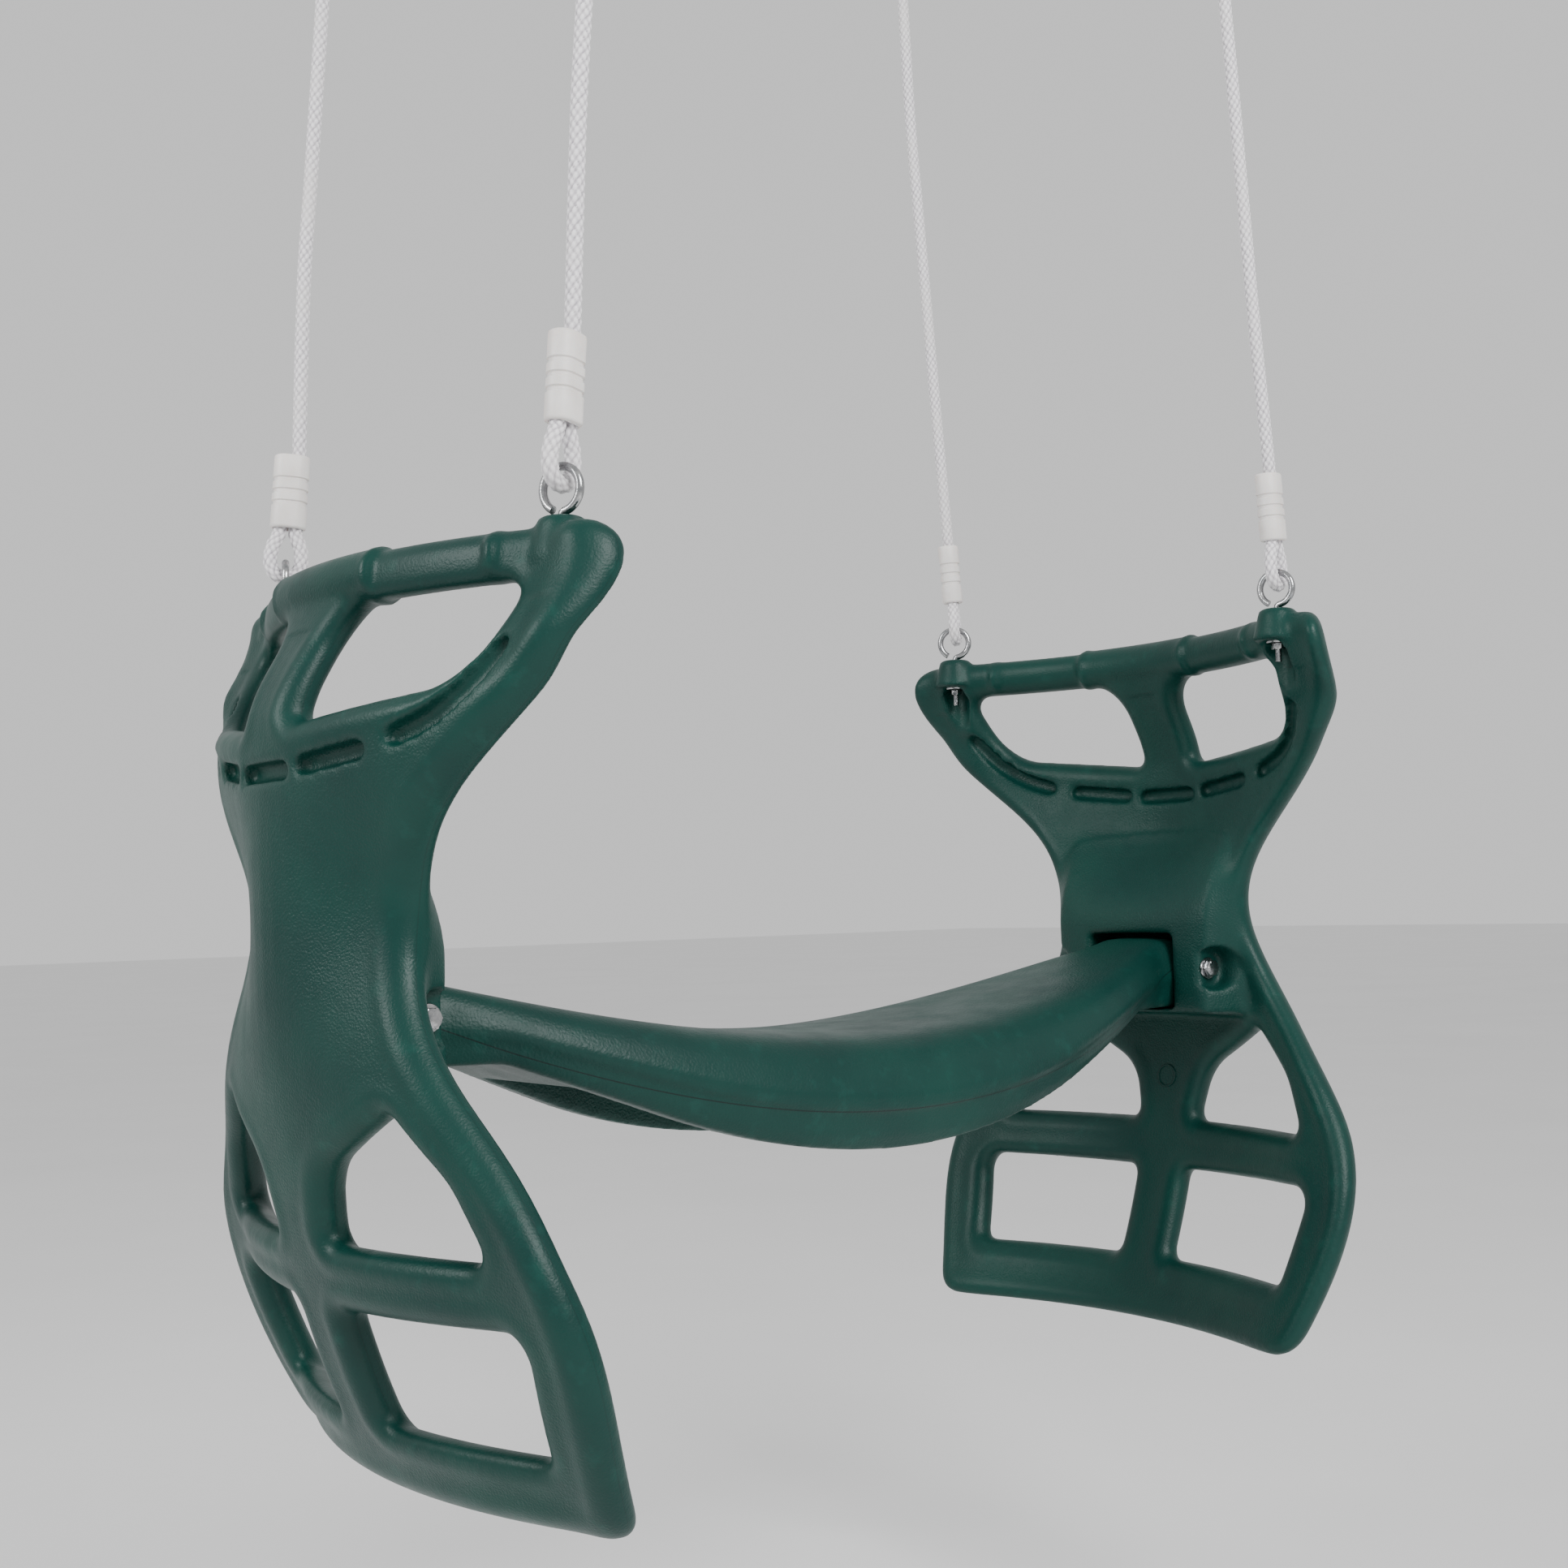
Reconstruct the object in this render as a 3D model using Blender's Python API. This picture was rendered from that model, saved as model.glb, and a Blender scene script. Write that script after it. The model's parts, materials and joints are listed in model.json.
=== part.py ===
"""Back-to-back glider swing: two hourglass end panels, one saddle seat, four ropes on beam hangers.

Metres, +Z up. The X axis runs from one end panel to the other and +Y is across the seat.
The origin is the centre of the four hangers, in the plane where they meet the beam.
"""
import math

import bmesh
import bpy
from mathutils import Matrix, Vector

# --- driving dimensions -------------------------------------------------------------------
DROP = 1.395            # beam face down to the feet of the end panels
GAP = 0.0003            # air between pieces that touch

PANEL_BULGE_X = 0.446   # middle of the panel wall at its fullest point
WALL = 0.014            # half the thickness of a panel
TOP_H = 0.602           # top edge of the handle bar above the feet
EYE_X = 0.351           # eye bolts, from the middle of the glider
EYE_Y = 0.190
BOSS_TOP_H = 0.607
BOSS_LOW_H = 0.580
BAR_H = 0.586           # centre line of the handle bar

SEAT_W = 0.117          # half width of the seat at its middle
SEAT_END_X = 0.404      # tip of the tongue
TONGUE_W = 0.046
SOCKET_FACE_X = 0.372
SOCKET_FLOOR_X = 0.410
SOCKET_LOW_H = 0.266
SEAT_BOLT_X = 0.384
SEAT_BOLT_H = 0.307
LUG_Y = 0.0775          # face that a seat bolt's washer bears on

RING_R = 0.01375        # eye bolt ring, to the middle of its wire
WIRE_R = 0.00275
ROPE_R = 0.0052
SLEEVE_L = 0.056
LOWER_PIVOT_H = BOSS_TOP_H + GAP + WIRE_R + 2 * RING_R
UPPER_PIVOT_Z = -0.045
HANGER_X = 0.295
RIGHT_SLACK = 0.0015    # the right loops hang this far outside their eyes, which swing towards it

GREEN = (0.012, 0.075, 0.052)
ZINC = (0.62, 0.62, 0.60)
ROPE_WHITE = (0.78, 0.76, 0.78)
SLEEVE_WHITE = (0.74, 0.70, 0.66)


def clear_scene():
    for old in list(bpy.data.objects):
        bpy.data.objects.remove(old, do_unlink=True)


def plastic(name, colour, roughness, metallic=0.0):
    mat = bpy.data.materials.new(name)
    mat.use_nodes = True
    shader = mat.node_tree.nodes["Principled BSDF"]
    shader.inputs["Base Color"].default_value = (*colour, 1.0)
    shader.inputs["Roughness"].default_value = roughness
    shader.inputs["Metallic"].default_value = metallic
    return mat


def level(h):
    """World height of a point that stands h above the feet."""
    return h - DROP


def smoothstep(value):
    t = min(1.0, max(0.0, value))
    return t * t * (3.0 - 2.0 * t)


# --- small mesh helpers ---------------------------------------------------------------------
def to_object(name, bm, material, smooth_angle=35.0):
    bmesh.ops.recalc_face_normals(bm, faces=bm.faces)
    if bm.calc_volume(signed=True) < 0.0:
        bmesh.ops.reverse_faces(bm, faces=bm.faces)
    mesh = bpy.data.meshes.new(name)
    bm.to_mesh(mesh)
    bm.free()
    obj = bpy.data.objects.new(name, mesh)
    bpy.context.collection.objects.link(obj)
    if material is not None:
        mesh.materials.append(material)
    mesh.shade_smooth()
    mesh.set_sharp_from_angle(angle=math.radians(smooth_angle))
    return obj


def add_tube(name, points, radius, resolution, material):
    """Round rod along a line of points, with flat closed ends."""
    curve = bpy.data.curves.new(name, "CURVE")
    curve.dimensions = "3D"
    curve.bevel_depth = radius
    curve.bevel_resolution = resolution
    curve.use_fill_caps = True
    spline = curve.splines.new("POLY")
    spline.points.add(len(points) - 1)
    for knot, place in zip(spline.points, points):
        knot.co = (*place, 1.0)
    obj = bpy.data.objects.new(name, curve)
    bpy.context.collection.objects.link(obj)
    if material is not None:
        curve.materials.append(material)
    return obj


def baked(obj, weld=0.00001):
    """The object's evaluated mesh as a bmesh in world space; the object is removed."""
    bpy.context.view_layer.update()
    graph = bpy.context.evaluated_depsgraph_get()
    mesh = bpy.data.meshes.new_from_object(obj.evaluated_get(graph), depsgraph=graph)
    bm = bmesh.new()
    bm.from_mesh(mesh)
    bmesh.ops.transform(bm, matrix=obj.matrix_world, verts=bm.verts)
    bmesh.ops.remove_doubles(bm, verts=bm.verts, dist=weld)
    bpy.data.objects.remove(obj, do_unlink=True)
    return bm


def cylinder(name, radius, start, end, sides=16, radius_end=None):
    """Round bar between two points."""
    start = Vector(start)
    end = Vector(end)
    bm = bmesh.new()
    turn = (end - start).to_track_quat("Z", "Y").to_matrix().to_4x4()
    bmesh.ops.create_cone(
        bm, cap_ends=True, segments=sides, radius1=radius,
        radius2=radius if radius_end is None else radius_end, depth=(end - start).length,
        matrix=Matrix.Translation((start + end) / 2) @ turn)
    return to_object(name, bm, None)


def box(name, low, high):
    bm = bmesh.new()
    size = Vector(high) - Vector(low)
    middle = (Vector(high) + Vector(low)) / 2
    matrix = Matrix.Translation(middle) @ Matrix.Diagonal((*size, 1.0))
    bmesh.ops.create_cube(bm, size=1.0, matrix=matrix)
    return to_object(name, bm, None)


def combine(body, tools, operation):
    """Apply one exact Boolean after another, and drop the tools."""
    for tool in tools:
        step = body.modifiers.new(tool.name, "BOOLEAN")
        step.operation = operation
        step.solver = "EXACT"
        step.object = tool
    mesh_name = body.name
    materials = list(body.data.materials)
    bm = baked(body, weld=0.000001)
    for tool in tools:
        bpy.data.objects.remove(tool, do_unlink=True)
    for face in bm.faces:
        face.material_index = 0
    return to_object(mesh_name, bm, materials[0] if materials else None)


# --- outlines in the plane of a panel: (y, h) pairs --------------------------------------------
def bezier(start, pull_start, pull_end, end, count):
    """Points along a cubic curve, without its last one."""
    points = []
    for i in range(count):
        t = i / count
        a, b, c, d = (1 - t) ** 3, 3 * t * (1 - t) ** 2, 3 * t * t * (1 - t), t ** 3
        points.append(tuple(a * p + b * q + c * r + d * s
                            for p, q, r, s in zip(start, pull_start, pull_end, end)))
    return points


def rounded(corners, arc_steps=3):
    """Closed outline through (y, h, radius) corners, each corner turned into an arc."""
    points = []
    total = len(corners)
    for i, (y, h, radius) in enumerate(corners):
        here = Vector((y, h))
        back = (Vector(corners[i - 1][:2]) - here).normalized()
        ahead = (Vector(corners[(i + 1) % total][:2]) - here).normalized()
        half = back.angle(ahead) / 2
        reach = radius / math.tan(half)
        centre = here + (back + ahead).normalized() * (radius / math.sin(half))
        first = here + back * reach - centre
        sweep = first.angle_signed(here + ahead * reach - centre)
        for k in range(arc_steps + 1):
            spoke = first.copy()
            spoke.rotate(Matrix.Rotation(-sweep * k / arc_steps, 2))
            points.append(tuple(centre + spoke))
    return points


def spread(points, longest):
    """Add points on the straight stretches of a closed outline, so that it can bend."""
    result = []
    for here, after in zip(points, points[1:] + points[:1]):
        here = Vector(here)
        after = Vector(after)
        count = max(1, math.ceil((after - here).length / longest))
        result += [tuple(here.lerp(after, k / count)) for k in range(count)]
    return result


def mirrored_outline(half):
    """Full outline from the half at +y, listed from the bottom up."""
    return half + [(-y, h) for y, h in reversed(half)]


def panel_outline():
    half = bezier((0.176, 0.0), (0.193, 0.0), (0.201, 0.007), (0.206, 0.022), 3)
    half += bezier((0.206, 0.022), (0.216, 0.050), (0.228, 0.085), (0.228, 0.118), 5)
    half += bezier((0.228, 0.118), (0.228, 0.215), (0.105, 0.278), (0.105, 0.360), 13)
    half += bezier((0.105, 0.360), (0.106, 0.450), (0.230, 0.474), (0.237, 0.570), 13)
    half += bezier((0.237, 0.570), (0.238, 0.590), (0.230, TOP_H), (0.212, TOP_H), 3)
    half.append((0.212, TOP_H))
    return mirrored_outline(half)


HAND_WINDOW = [(0.029, 0.493, 0.009), (0.168, 0.508, 0.040), (0.180, 0.569, 0.014), (0.031, 0.569, 0.030)]
FOOT_WINDOW = [(0.027, 0.049, 0.010), (0.169, 0.049, 0.010), (0.185, 0.127, 0.014), (0.027, 0.125, 0.009)]
KNEE_WINDOW = [(0.031, 0.168, 0.009), (0.169, 0.168, 0.008), (0.148, 0.213, 0.060),
               (0.107, 0.254, 0.008), (0.041, 0.214, 0.045)]


def windows():
    """The six holes of a panel."""
    holes = []
    for corners in (HAND_WINDOW, FOOT_WINDOW, KNEE_WINDOW):
        ring = rounded(corners)
        holes.append(ring)
        holes.append([(-y, h) for y, h in reversed(ring)])
    return holes


# --- the curved wall of a panel -------------------------------------------------------------------
def wall_x(y, h):
    """Distance of the middle of the panel wall from the middle of the glider."""
    foot = 0.088 * max(0.0, (0.46 - h) / 0.46) ** 3
    head = 0.040 * smoothstep((h - 0.490) / 0.100)
    upper = smoothstep((h - 0.16) / 0.17)
    bow = (1.25 + 0.27 * upper) * y * y
    bow *= 1.0 - 0.30 * (1.0 - upper) * smoothstep((abs(y) - 0.15) / 0.08)
    waist = 0.024 * math.exp(-((h - 0.372) / 0.070) ** 2) * smoothstep(abs(y) / 0.105)
    horn = 0.020 * smoothstep((abs(y) - 0.180) / 0.045) * smoothstep((h - 0.49) / 0.05)
    return PANEL_BULGE_X - foot - head - bow - waist + horn


def socket_amount(y, h):
    """How far the inner face has swelled into the seat socket, from 0 to 1."""
    rise = smoothstep((h - SOCKET_LOW_H + 0.002) / 0.004) * smoothstep((0.440 - h) / 0.095)
    return rise * smoothstep((0.106 - abs(y)) / 0.026)


def bend(bm):
    """Give a flat panel (thickness along x, inner side at -x) its curved shape."""
    for vert in bm.verts:
        offset, y, h = vert.co
        x = wall_x(y, h) + offset
        if offset < -WALL / 2:
            x += socket_amount(y, h) * min(0.0, SOCKET_FACE_X - x)
        vert.co = (x, y, level(h))


EDGE_RINGS = [(0.0041, 0.0099), (0.0099, WALL)]   # inset of each ring, and its half thickness
CUT_Y = [-0.172, -0.138, -0.106, -0.080, -0.045, 0.0, 0.045, 0.080, 0.106, 0.138, 0.172]
CUT_H = [0.045, 0.090, 0.130, 0.165, 0.200, 0.232, SOCKET_LOW_H - 0.002, SOCKET_LOW_H + 0.002,
         0.305, 0.345, 0.375, 0.405, 0.440, 0.475, 0.500, 0.520, 0.540, 0.560, 0.580]


def half_panel():
    """One face of the flat panel: the outline with its windows, rounded up from the middle plane."""
    bm = bmesh.new()
    for ring in [panel_outline()] + windows():
        verts = [bm.verts.new((0.0, y, h)) for y, h in spread(ring, 0.026)]
        for a, b in zip(verts, verts[1:] + verts[:1]):
            bm.edges.new((a, b))
    bmesh.ops.triangle_fill(bm, use_beauty=True, edges=bm.edges[:], normal=(1.0, 0.0, 0.0))
    flat = bm.faces[:]
    for inset, height in EDGE_RINGS:
        bmesh.ops.inset_region(bm, faces=flat, use_boundary=True, use_even_offset=True, thickness=inset)
        for vert in {v for face in flat for v in face.verts}:
            vert.co.x = height
    planes = [((0, y, 0), (0, 1, 0)) for y in CUT_Y] + [((0, 0, h), (0, 0, 1)) for h in CUT_H]
    for place, normal in planes:
        inner = {face for face in bm.faces if face.calc_center_median().x > WALL - 0.0001}
        parts = inner | {e for face in inner for e in face.edges} | {v for face in inner for v in face.verts}
        bmesh.ops.bisect_plane(bm, geom=list(parts), dist=0.0012, plane_co=place, plane_no=normal)
    return bm


def end_panel(name, side, material):
    """Moulded panel with its windows, handle bar and foot bars; side is -1 or +1 along X."""
    bm = half_panel()
    bmesh.ops.mirror(bm, geom=bm.verts[:] + bm.edges[:] + bm.faces[:], axis="X", merge_dist=0.0001)
    bend(bm)
    body = to_object(name, bm, material)
    body = combine(body, handle_sections(), "UNION")
    body = combine(body, panel_cutters() + [slot_cutters()], "DIFFERENCE")
    if side < 0:
        bm = baked(body)
        bmesh.ops.transform(bm, matrix=Matrix.Scale(-1.0, 4, (1, 0, 0)), verts=bm.verts)
        bmesh.ops.reverse_faces(bm, faces=bm.faces)
        body = to_object(name, bm, material)
    return body


def bar_point(y):
    return (wall_x(y, BAR_H) + 0.001, y, level(BAR_H))


def handle_sections():
    """Thicker stretches of the handle bar: the middle block and the two eye bolt bosses."""
    steps = 6
    middle = [bar_point(-0.062 + 0.124 * k / steps) for k in range(steps + 1)]
    tools = [baked_tube("middle_grip", middle, 0.0182, 3)]
    for side in (-1, 1):
        place = (EYE_X, side * EYE_Y)
        tools.append(cylinder("boss", 0.021, (*place, level(BOSS_LOW_H)), (*place, level(BOSS_TOP_H)), 18, 0.015))
    return tools


def baked_tube(name, points, radius, resolution):
    return to_object(name, baked(add_tube(name, points, radius, resolution, None)), None)


def panel_cutters():
    """Eye bolt holes and nut recesses, the seat socket, and the seat bolt's holes and recesses."""
    tools = [box("socket", (SOCKET_FACE_X - 0.05, -TONGUE_W - 0.001, level(0.271)),
                 (SOCKET_FLOOR_X, TONGUE_W + 0.001, level(0.338)))]
    for side in (-1, 1):
        x, y = EYE_X, side * EYE_Y
        tools.append(cylinder("eye_hole", 0.0033, (x, y, level(0.57)), (x, y, level(0.62)), 12))
        tools.append(cylinder("nut_recess", 0.0125, (x, y, level(0.548)), (x, y, level(BOSS_LOW_H)), 16))
        reach = [side * value for value in (0.03, LUG_Y + 0.002)]
        centre = (SEAT_BOLT_X, level(SEAT_BOLT_H))
        tools.append(cylinder("seat_bolt_hole", 0.0044, (centre[0], reach[0], centre[1]),
                              (centre[0], reach[1], centre[1]), 12))
        tools.append(cylinder("bolt_recess", 0.0185, (centre[0], side * LUG_Y, centre[1]),
                              (centre[0], side * 0.135, centre[1]), 18))
    return tools


SLOT_DEPTH = 0.009
SLOT_WIDTH = 0.0095
SLOTS = [[(-0.026, 0.464), (0.026, 0.464)],
         [(0.046, 0.466), (0.096, 0.472)],
         [(0.124, 0.478), (0.150, 0.488), (0.172, 0.505), (0.186, 0.527)]]


def slot_cutters():
    """Prisms that cut blind slots into both faces, in a row below the hand windows."""
    bm = bmesh.new()
    for line in SLOTS + [[(-y, h) for y, h in reversed(line)] for line in SLOTS[1:]]:
        add_slot(bm, line, -1)
        add_slot(bm, line, 1)
    return to_object("slots", bm, None)


def add_slot(bm, line, face):
    """Prism over a line of (y, h) points; its floor runs at one depth below the face."""
    rows = []
    for i, (y, h) in enumerate(line):
        along = Vector(line[min(i + 1, len(line) - 1)]) - Vector(line[max(i - 1, 0)])
        side = Vector((-along.y, along.x)).normalized() * SLOT_WIDTH / 2
        row = []
        for depth, sign in ((-SLOT_DEPTH, -1), (SLOT_DEPTH, -1), (SLOT_DEPTH, 1), (-SLOT_DEPTH, 1)):
            at_y = y + sign * side.x
            at_h = h + sign * side.y
            x = wall_x(at_y, at_h) + face * (WALL + depth)
            row.append(bm.verts.new((x, at_y, level(at_h))))
        rows.append(row)
    for row, after in zip(rows, rows[1:]):
        for i in range(4):
            bm.faces.new((row[i - 1], row[i], after[i], after[i - 1]))
    bm.faces.new(rows[0])
    bm.faces.new(rows[-1])


# --- seat -----------------------------------------------------------------------------------------
SEAT_TOP_H = 0.275
SEAT_LOW_H = 0.192
SEAT_SECTION = [(0.0, 0.2755), (0.045, 0.275), (0.078, 0.273), (0.097, 0.267), (0.109, 0.253),
                (SEAT_W, 0.232), (0.1155, 0.222), (0.112, 0.2195), (0.107, 0.202), (0.101, 0.192)]


def seat_top(x):
    return SEAT_TOP_H + 0.058 * (abs(x) / 0.375) ** 1.8


def seat_low(x):
    """Underside: a shallow bowl that runs out straight towards the tongues."""
    bend_x = 0.21
    near = min(abs(x), bend_x)
    return min(0.2725, SEAT_LOW_H + 0.0405 * (near / bend_x) ** 2 + 0.380 * (abs(x) - near))


def seat_half_width(x):
    reach = min(1.0, abs(x) / 0.360)
    return TONGUE_W + (SEAT_W - TONGUE_W) * (1.0 - reach ** 2.6)


def shape_along_seat(bm):
    """Taper and sag a straight bar that has the seat's middle section all along."""
    for vert in bm.verts:
        x, y, h = vert.co
        part = (h - SEAT_LOW_H) / (SEAT_TOP_H - SEAT_LOW_H)
        top = min(seat_top(x), seat_top(0.376))
        vert.co.y = y * seat_half_width(x) / SEAT_W
        vert.co.z = level(seat_low(x) + part * (top - seat_low(x)))


def extruded_bar(outline, stations):
    """Solid bar along X with one cross-section, cut at each station."""
    bm = bmesh.new()
    ring = [bm.verts.new((stations[0], y, h)) for y, h in outline]
    edges = [bm.edges.new((a, b)) for a, b in zip(ring, ring[1:] + ring[:1])]
    bm.faces.new(ring)
    for here, after in zip(stations, stations[1:]):
        grown = bmesh.ops.extrude_edge_only(bm, edges=edges)["geom"]
        edges = [item for item in grown if isinstance(item, bmesh.types.BMEdge)]
        moved = [item for item in grown if isinstance(item, bmesh.types.BMVert)]
        edges = [e for e in edges if all(v in moved for v in e.verts)]
        bmesh.ops.translate(bm, verts=moved, vec=(after - here, 0.0, 0.0))
    bmesh.ops.contextual_create(bm, geom=edges)
    return bm


def seat(material):
    full = SEAT_SECTION + [(-y, h) for y, h in reversed(SEAT_SECTION[1:])]
    half = [0.0, 0.045, 0.09, 0.135, 0.18, 0.22, 0.255, 0.285, 0.31, 0.335, 0.352, 0.364, SEAT_END_X]
    stations = [-x for x in reversed(half[1:])] + half
    bm = extruded_bar(full, stations)
    shape_along_seat(bm)
    body = to_object("seat", bm, material)
    hollow = [(0.082, 0.16), (0.078, 0.226), (0.060, 0.236), (-0.060, 0.236), (-0.078, 0.226), (-0.082, 0.16)]
    inner = [x for x in stations if abs(x) < 0.27]
    bm = extruded_bar(hollow, inner)
    shape_along_seat(bm)
    tools = [to_object("underside", bm, None)]
    for side in (-1, 1):
        x = side * SEAT_BOLT_X
        z = level(SEAT_BOLT_H)
        tools.append(cylinder("bolt_way", 0.0044, (x, -0.07, z), (x, 0.07, z), 12))
    for side in (-1, 1):
        tools.append(rail_notch(side))
    return combine(body, tools, "DIFFERENCE")


def rail_notch(side):
    """Small upright groove across each rail at mid length."""
    turn = Matrix.Rotation(math.radians(side * 38.0), 4, "X")
    bm = bmesh.new()
    place = Matrix.Translation((0.0, side * 0.112, level(0.260)))
    bmesh.ops.create_cube(bm, size=1.0, matrix=place @ turn @ Matrix.Diagonal((0.004, 0.008, 0.034, 1.0)))
    return to_object("notch", bm, None)


# --- hardware -------------------------------------------------------------------------------------
def hex_prism(name, across, low, high, axis, bore, material):
    """Nut or bolt head between two points, with an optional round bore."""
    bm = bmesh.new()
    low = Vector(low)
    high = Vector(high)
    turn = (high - low).to_track_quat("Z", "Y").to_matrix().to_4x4()
    matrix = Matrix.Translation((low + high) / 2) @ turn
    bmesh.ops.create_cone(bm, cap_ends=True, segments=6, radius1=across / math.sqrt(3),
                          radius2=across / math.sqrt(3), depth=(high - low).length, matrix=matrix)
    body = to_object(name, bm, material)
    if bore:
        extra = Vector(axis) * 0.002
        body = combine(body, [cylinder(name + "_bore", bore, low - extra, high + extra, 12)], "DIFFERENCE")
    return body


def washer(name, outer, bore, low, high, material):
    """Flat ring: a small rectangle spun round its axis."""
    low = Vector(low)
    high = Vector(high)
    thick = (high - low).length
    bm = bmesh.new()
    corners = [bm.verts.new(co) for co in ((bore, 0, 0), (outer, 0, 0), (outer, 0, thick), (bore, 0, thick))]
    profile = [bm.edges.new((a, b)) for a, b in zip(corners, corners[1:] + corners[:1])]
    bmesh.ops.spin(bm, geom=corners + profile, cent=(0, 0, 0), axis=(0, 0, 1),
                   angle=2 * math.pi, steps=16, use_merge=True, use_duplicate=False)
    bmesh.ops.remove_doubles(bm, verts=bm.verts, dist=0.00001)
    turn = (high - low).to_track_quat("Z", "Y").to_matrix().to_4x4()
    bmesh.ops.transform(bm, matrix=Matrix.Translation(low) @ turn, verts=bm.verts)
    return to_object(name, bm, material)


def eye_bolt(name, x, y, heading, material):
    """Bent-wire eye bolt: almost a full ring, then the shank straight down through the boss."""
    across = Vector((-math.sin(heading), math.cos(heading), 0.0))
    centre = Vector((x, y, level(BOSS_TOP_H + GAP + WIRE_R + RING_R)))
    points = []
    steps = 22
    for k in range(steps + 1):
        turn = math.radians(-62.0 + 332.0 * k / steps)
        points.append(centre + RING_R * (across * math.cos(turn) + Vector((0, 0, 1)) * math.sin(turn)))
    foot = centre - Vector((0, 0, RING_R))
    points[-1] = foot + Vector((0.0, 0.0, 0.0006)) - across * 0.0016
    points.append(foot - Vector((0, 0, 0.0035)))
    points.append(Vector((x, y, level(0.5625))))
    return add_tube(name, points, WIRE_R, 3, material)


def eye_hardware(tag, x, y, heading, material):
    eye_bolt("eye_bolt_" + tag, x, y, heading, material)
    top = BOSS_LOW_H - GAP
    washer("eye_washer_" + tag, 0.0100, 0.0034, (x, y, level(top - 0.0016)), (x, y, level(top)), material)
    low = top - 0.0016 - GAP - 0.005
    hex_prism("eye_nut_" + tag, 0.010, (x, y, level(low)), (x, y, level(low + 0.005)), (0, 0, 1), 0.0032, material)


def seat_bolt_set(tag, x, material):
    """Long bolt across the socket, with a washer at each end and a nut."""
    z = level(SEAT_BOLT_H)
    face = LUG_Y + GAP
    for end, side in (("near", -1), ("far", 1)):
        washer("seat_washer_%s_%s" % (tag, end), 0.0095, 0.0044, (x, side * face, z),
               (x, side * (face + 0.0016), z), material)
    seat = face + 0.0016 + GAP
    head = hex_prism("seat_bolt_" + tag, 0.013, (x, -seat - 0.0055, z), (x, -seat, z), (0, 1, 0), 0.0, material)
    shank = cylinder("shank", 0.0040, (x, -seat - 0.002, z), (x, seat + 0.011, z), 14)
    combine(head, [shank], "UNION")
    hex_prism("seat_nut_" + tag, 0.013, (x, seat, z), (x, seat + 0.007, z), (0, 1, 0), 0.0043, material)


# --- ropes, sleeves and hangers -----------------------------------------------------------------------
LOOP_R = 0.0112                 # bend of the rope round a wire, with room to swing
TAIL_OFFSET = 0.0056            # half the distance between the two runs in a sleeve
SLEEVE_RISE = 0.026             # from a pivot to the nearer end of its sleeve


def rope_route(x_low, y, heading, x_top):
    """Route points: tail, round the eye, up the main run, round the hanger, and its tail."""
    low = Vector((x_low, y, level(LOWER_PIVOT_H)))
    top = Vector((x_top, y, UPPER_PIVOT_Z))
    rise = (top - low).normalized()
    wide = Vector((math.cos(heading), math.sin(heading), 0.0))
    wide = (wide - rise * wide.dot(rise)).normalized()
    far = Vector((1.0, 0.0, 0.0))
    far = (far - rise * far.dot(rise)).normalized()
    route = [low + rise * (SLEEVE_RISE + SLEEVE_L - 0.008) - wide * TAIL_OFFSET]
    route.append(low + rise * (SLEEVE_RISE + SLEEVE_L / 2) - wide * TAIL_OFFSET)
    route.append(low + rise * SLEEVE_RISE - wide * TAIL_OFFSET)
    route.append(low + rise * 0.020 - wide * (TAIL_OFFSET + 0.0010))
    route.append(low + rise * 0.011 - wide * (LOOP_R - 0.0009))
    for k in range(5):
        turn = math.pi * k / 4
        route.append(low - wide * LOOP_R * math.cos(turn) - rise * LOOP_R * math.sin(turn))
    route.append(low + rise * 0.011 + wide * (LOOP_R - 0.0009))
    route.append(low + rise * 0.020 + wide * (TAIL_OFFSET + 0.0010))
    route.append(low + rise * SLEEVE_RISE + wide * TAIL_OFFSET)
    route.append(low + rise * (SLEEVE_RISE + SLEEVE_L / 2) + wide * TAIL_OFFSET)
    route.append(low + rise * (SLEEVE_RISE + SLEEVE_L) + wide * (TAIL_OFFSET - 0.0008))
    for part in (0.30, 0.42, 0.58, 0.70):
        route.append(low.lerp(top, part))
    route.append(top - rise * (SLEEVE_RISE + SLEEVE_L) + far * (TAIL_OFFSET - 0.0008))
    route.append(top - rise * (SLEEVE_RISE + SLEEVE_L / 2) + far * TAIL_OFFSET)
    route.append(top - rise * SLEEVE_RISE + far * TAIL_OFFSET)
    route.append(top - rise * 0.020 + far * (TAIL_OFFSET + 0.0012))
    route.append(top - rise * 0.011 + far * (LOOP_R + 0.0002))
    for k in range(5):
        turn = math.pi * k / 4
        route.append(top + far * (LOOP_R + 0.0012) * math.cos(turn) + rise * (LOOP_R + 0.0012) * math.sin(turn))
    route.append(top - rise * 0.011 - far * (LOOP_R + 0.0002))
    route.append(top - rise * 0.020 - far * (TAIL_OFFSET + 0.0012))
    route.append(top - rise * SLEEVE_RISE - far * TAIL_OFFSET)
    route.append(top - rise * (SLEEVE_RISE + SLEEVE_L / 2) - far * TAIL_OFFSET)
    route.append(top - rise * (SLEEVE_RISE + SLEEVE_L - 0.008) - far * TAIL_OFFSET)
    return route


def smooth_line(route):
    """Close-set points along the Catmull-Rom curve through the route."""
    fine = []
    padded = [route[0] * 2 - route[1]] + route + [route[-1] * 2 - route[-2]]
    for a, b, c, d in zip(padded, padded[1:], padded[2:], padded[3:]):
        for k in range(12):
            t = k / 12
            fine.append(0.5 * (2 * b + (c - a) * t + (2 * a - 5 * b + 4 * c - d) * t * t
                               + (3 * b - a - 3 * c + d) * t ** 3))
    fine.append(route[-1])
    return fine


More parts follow.
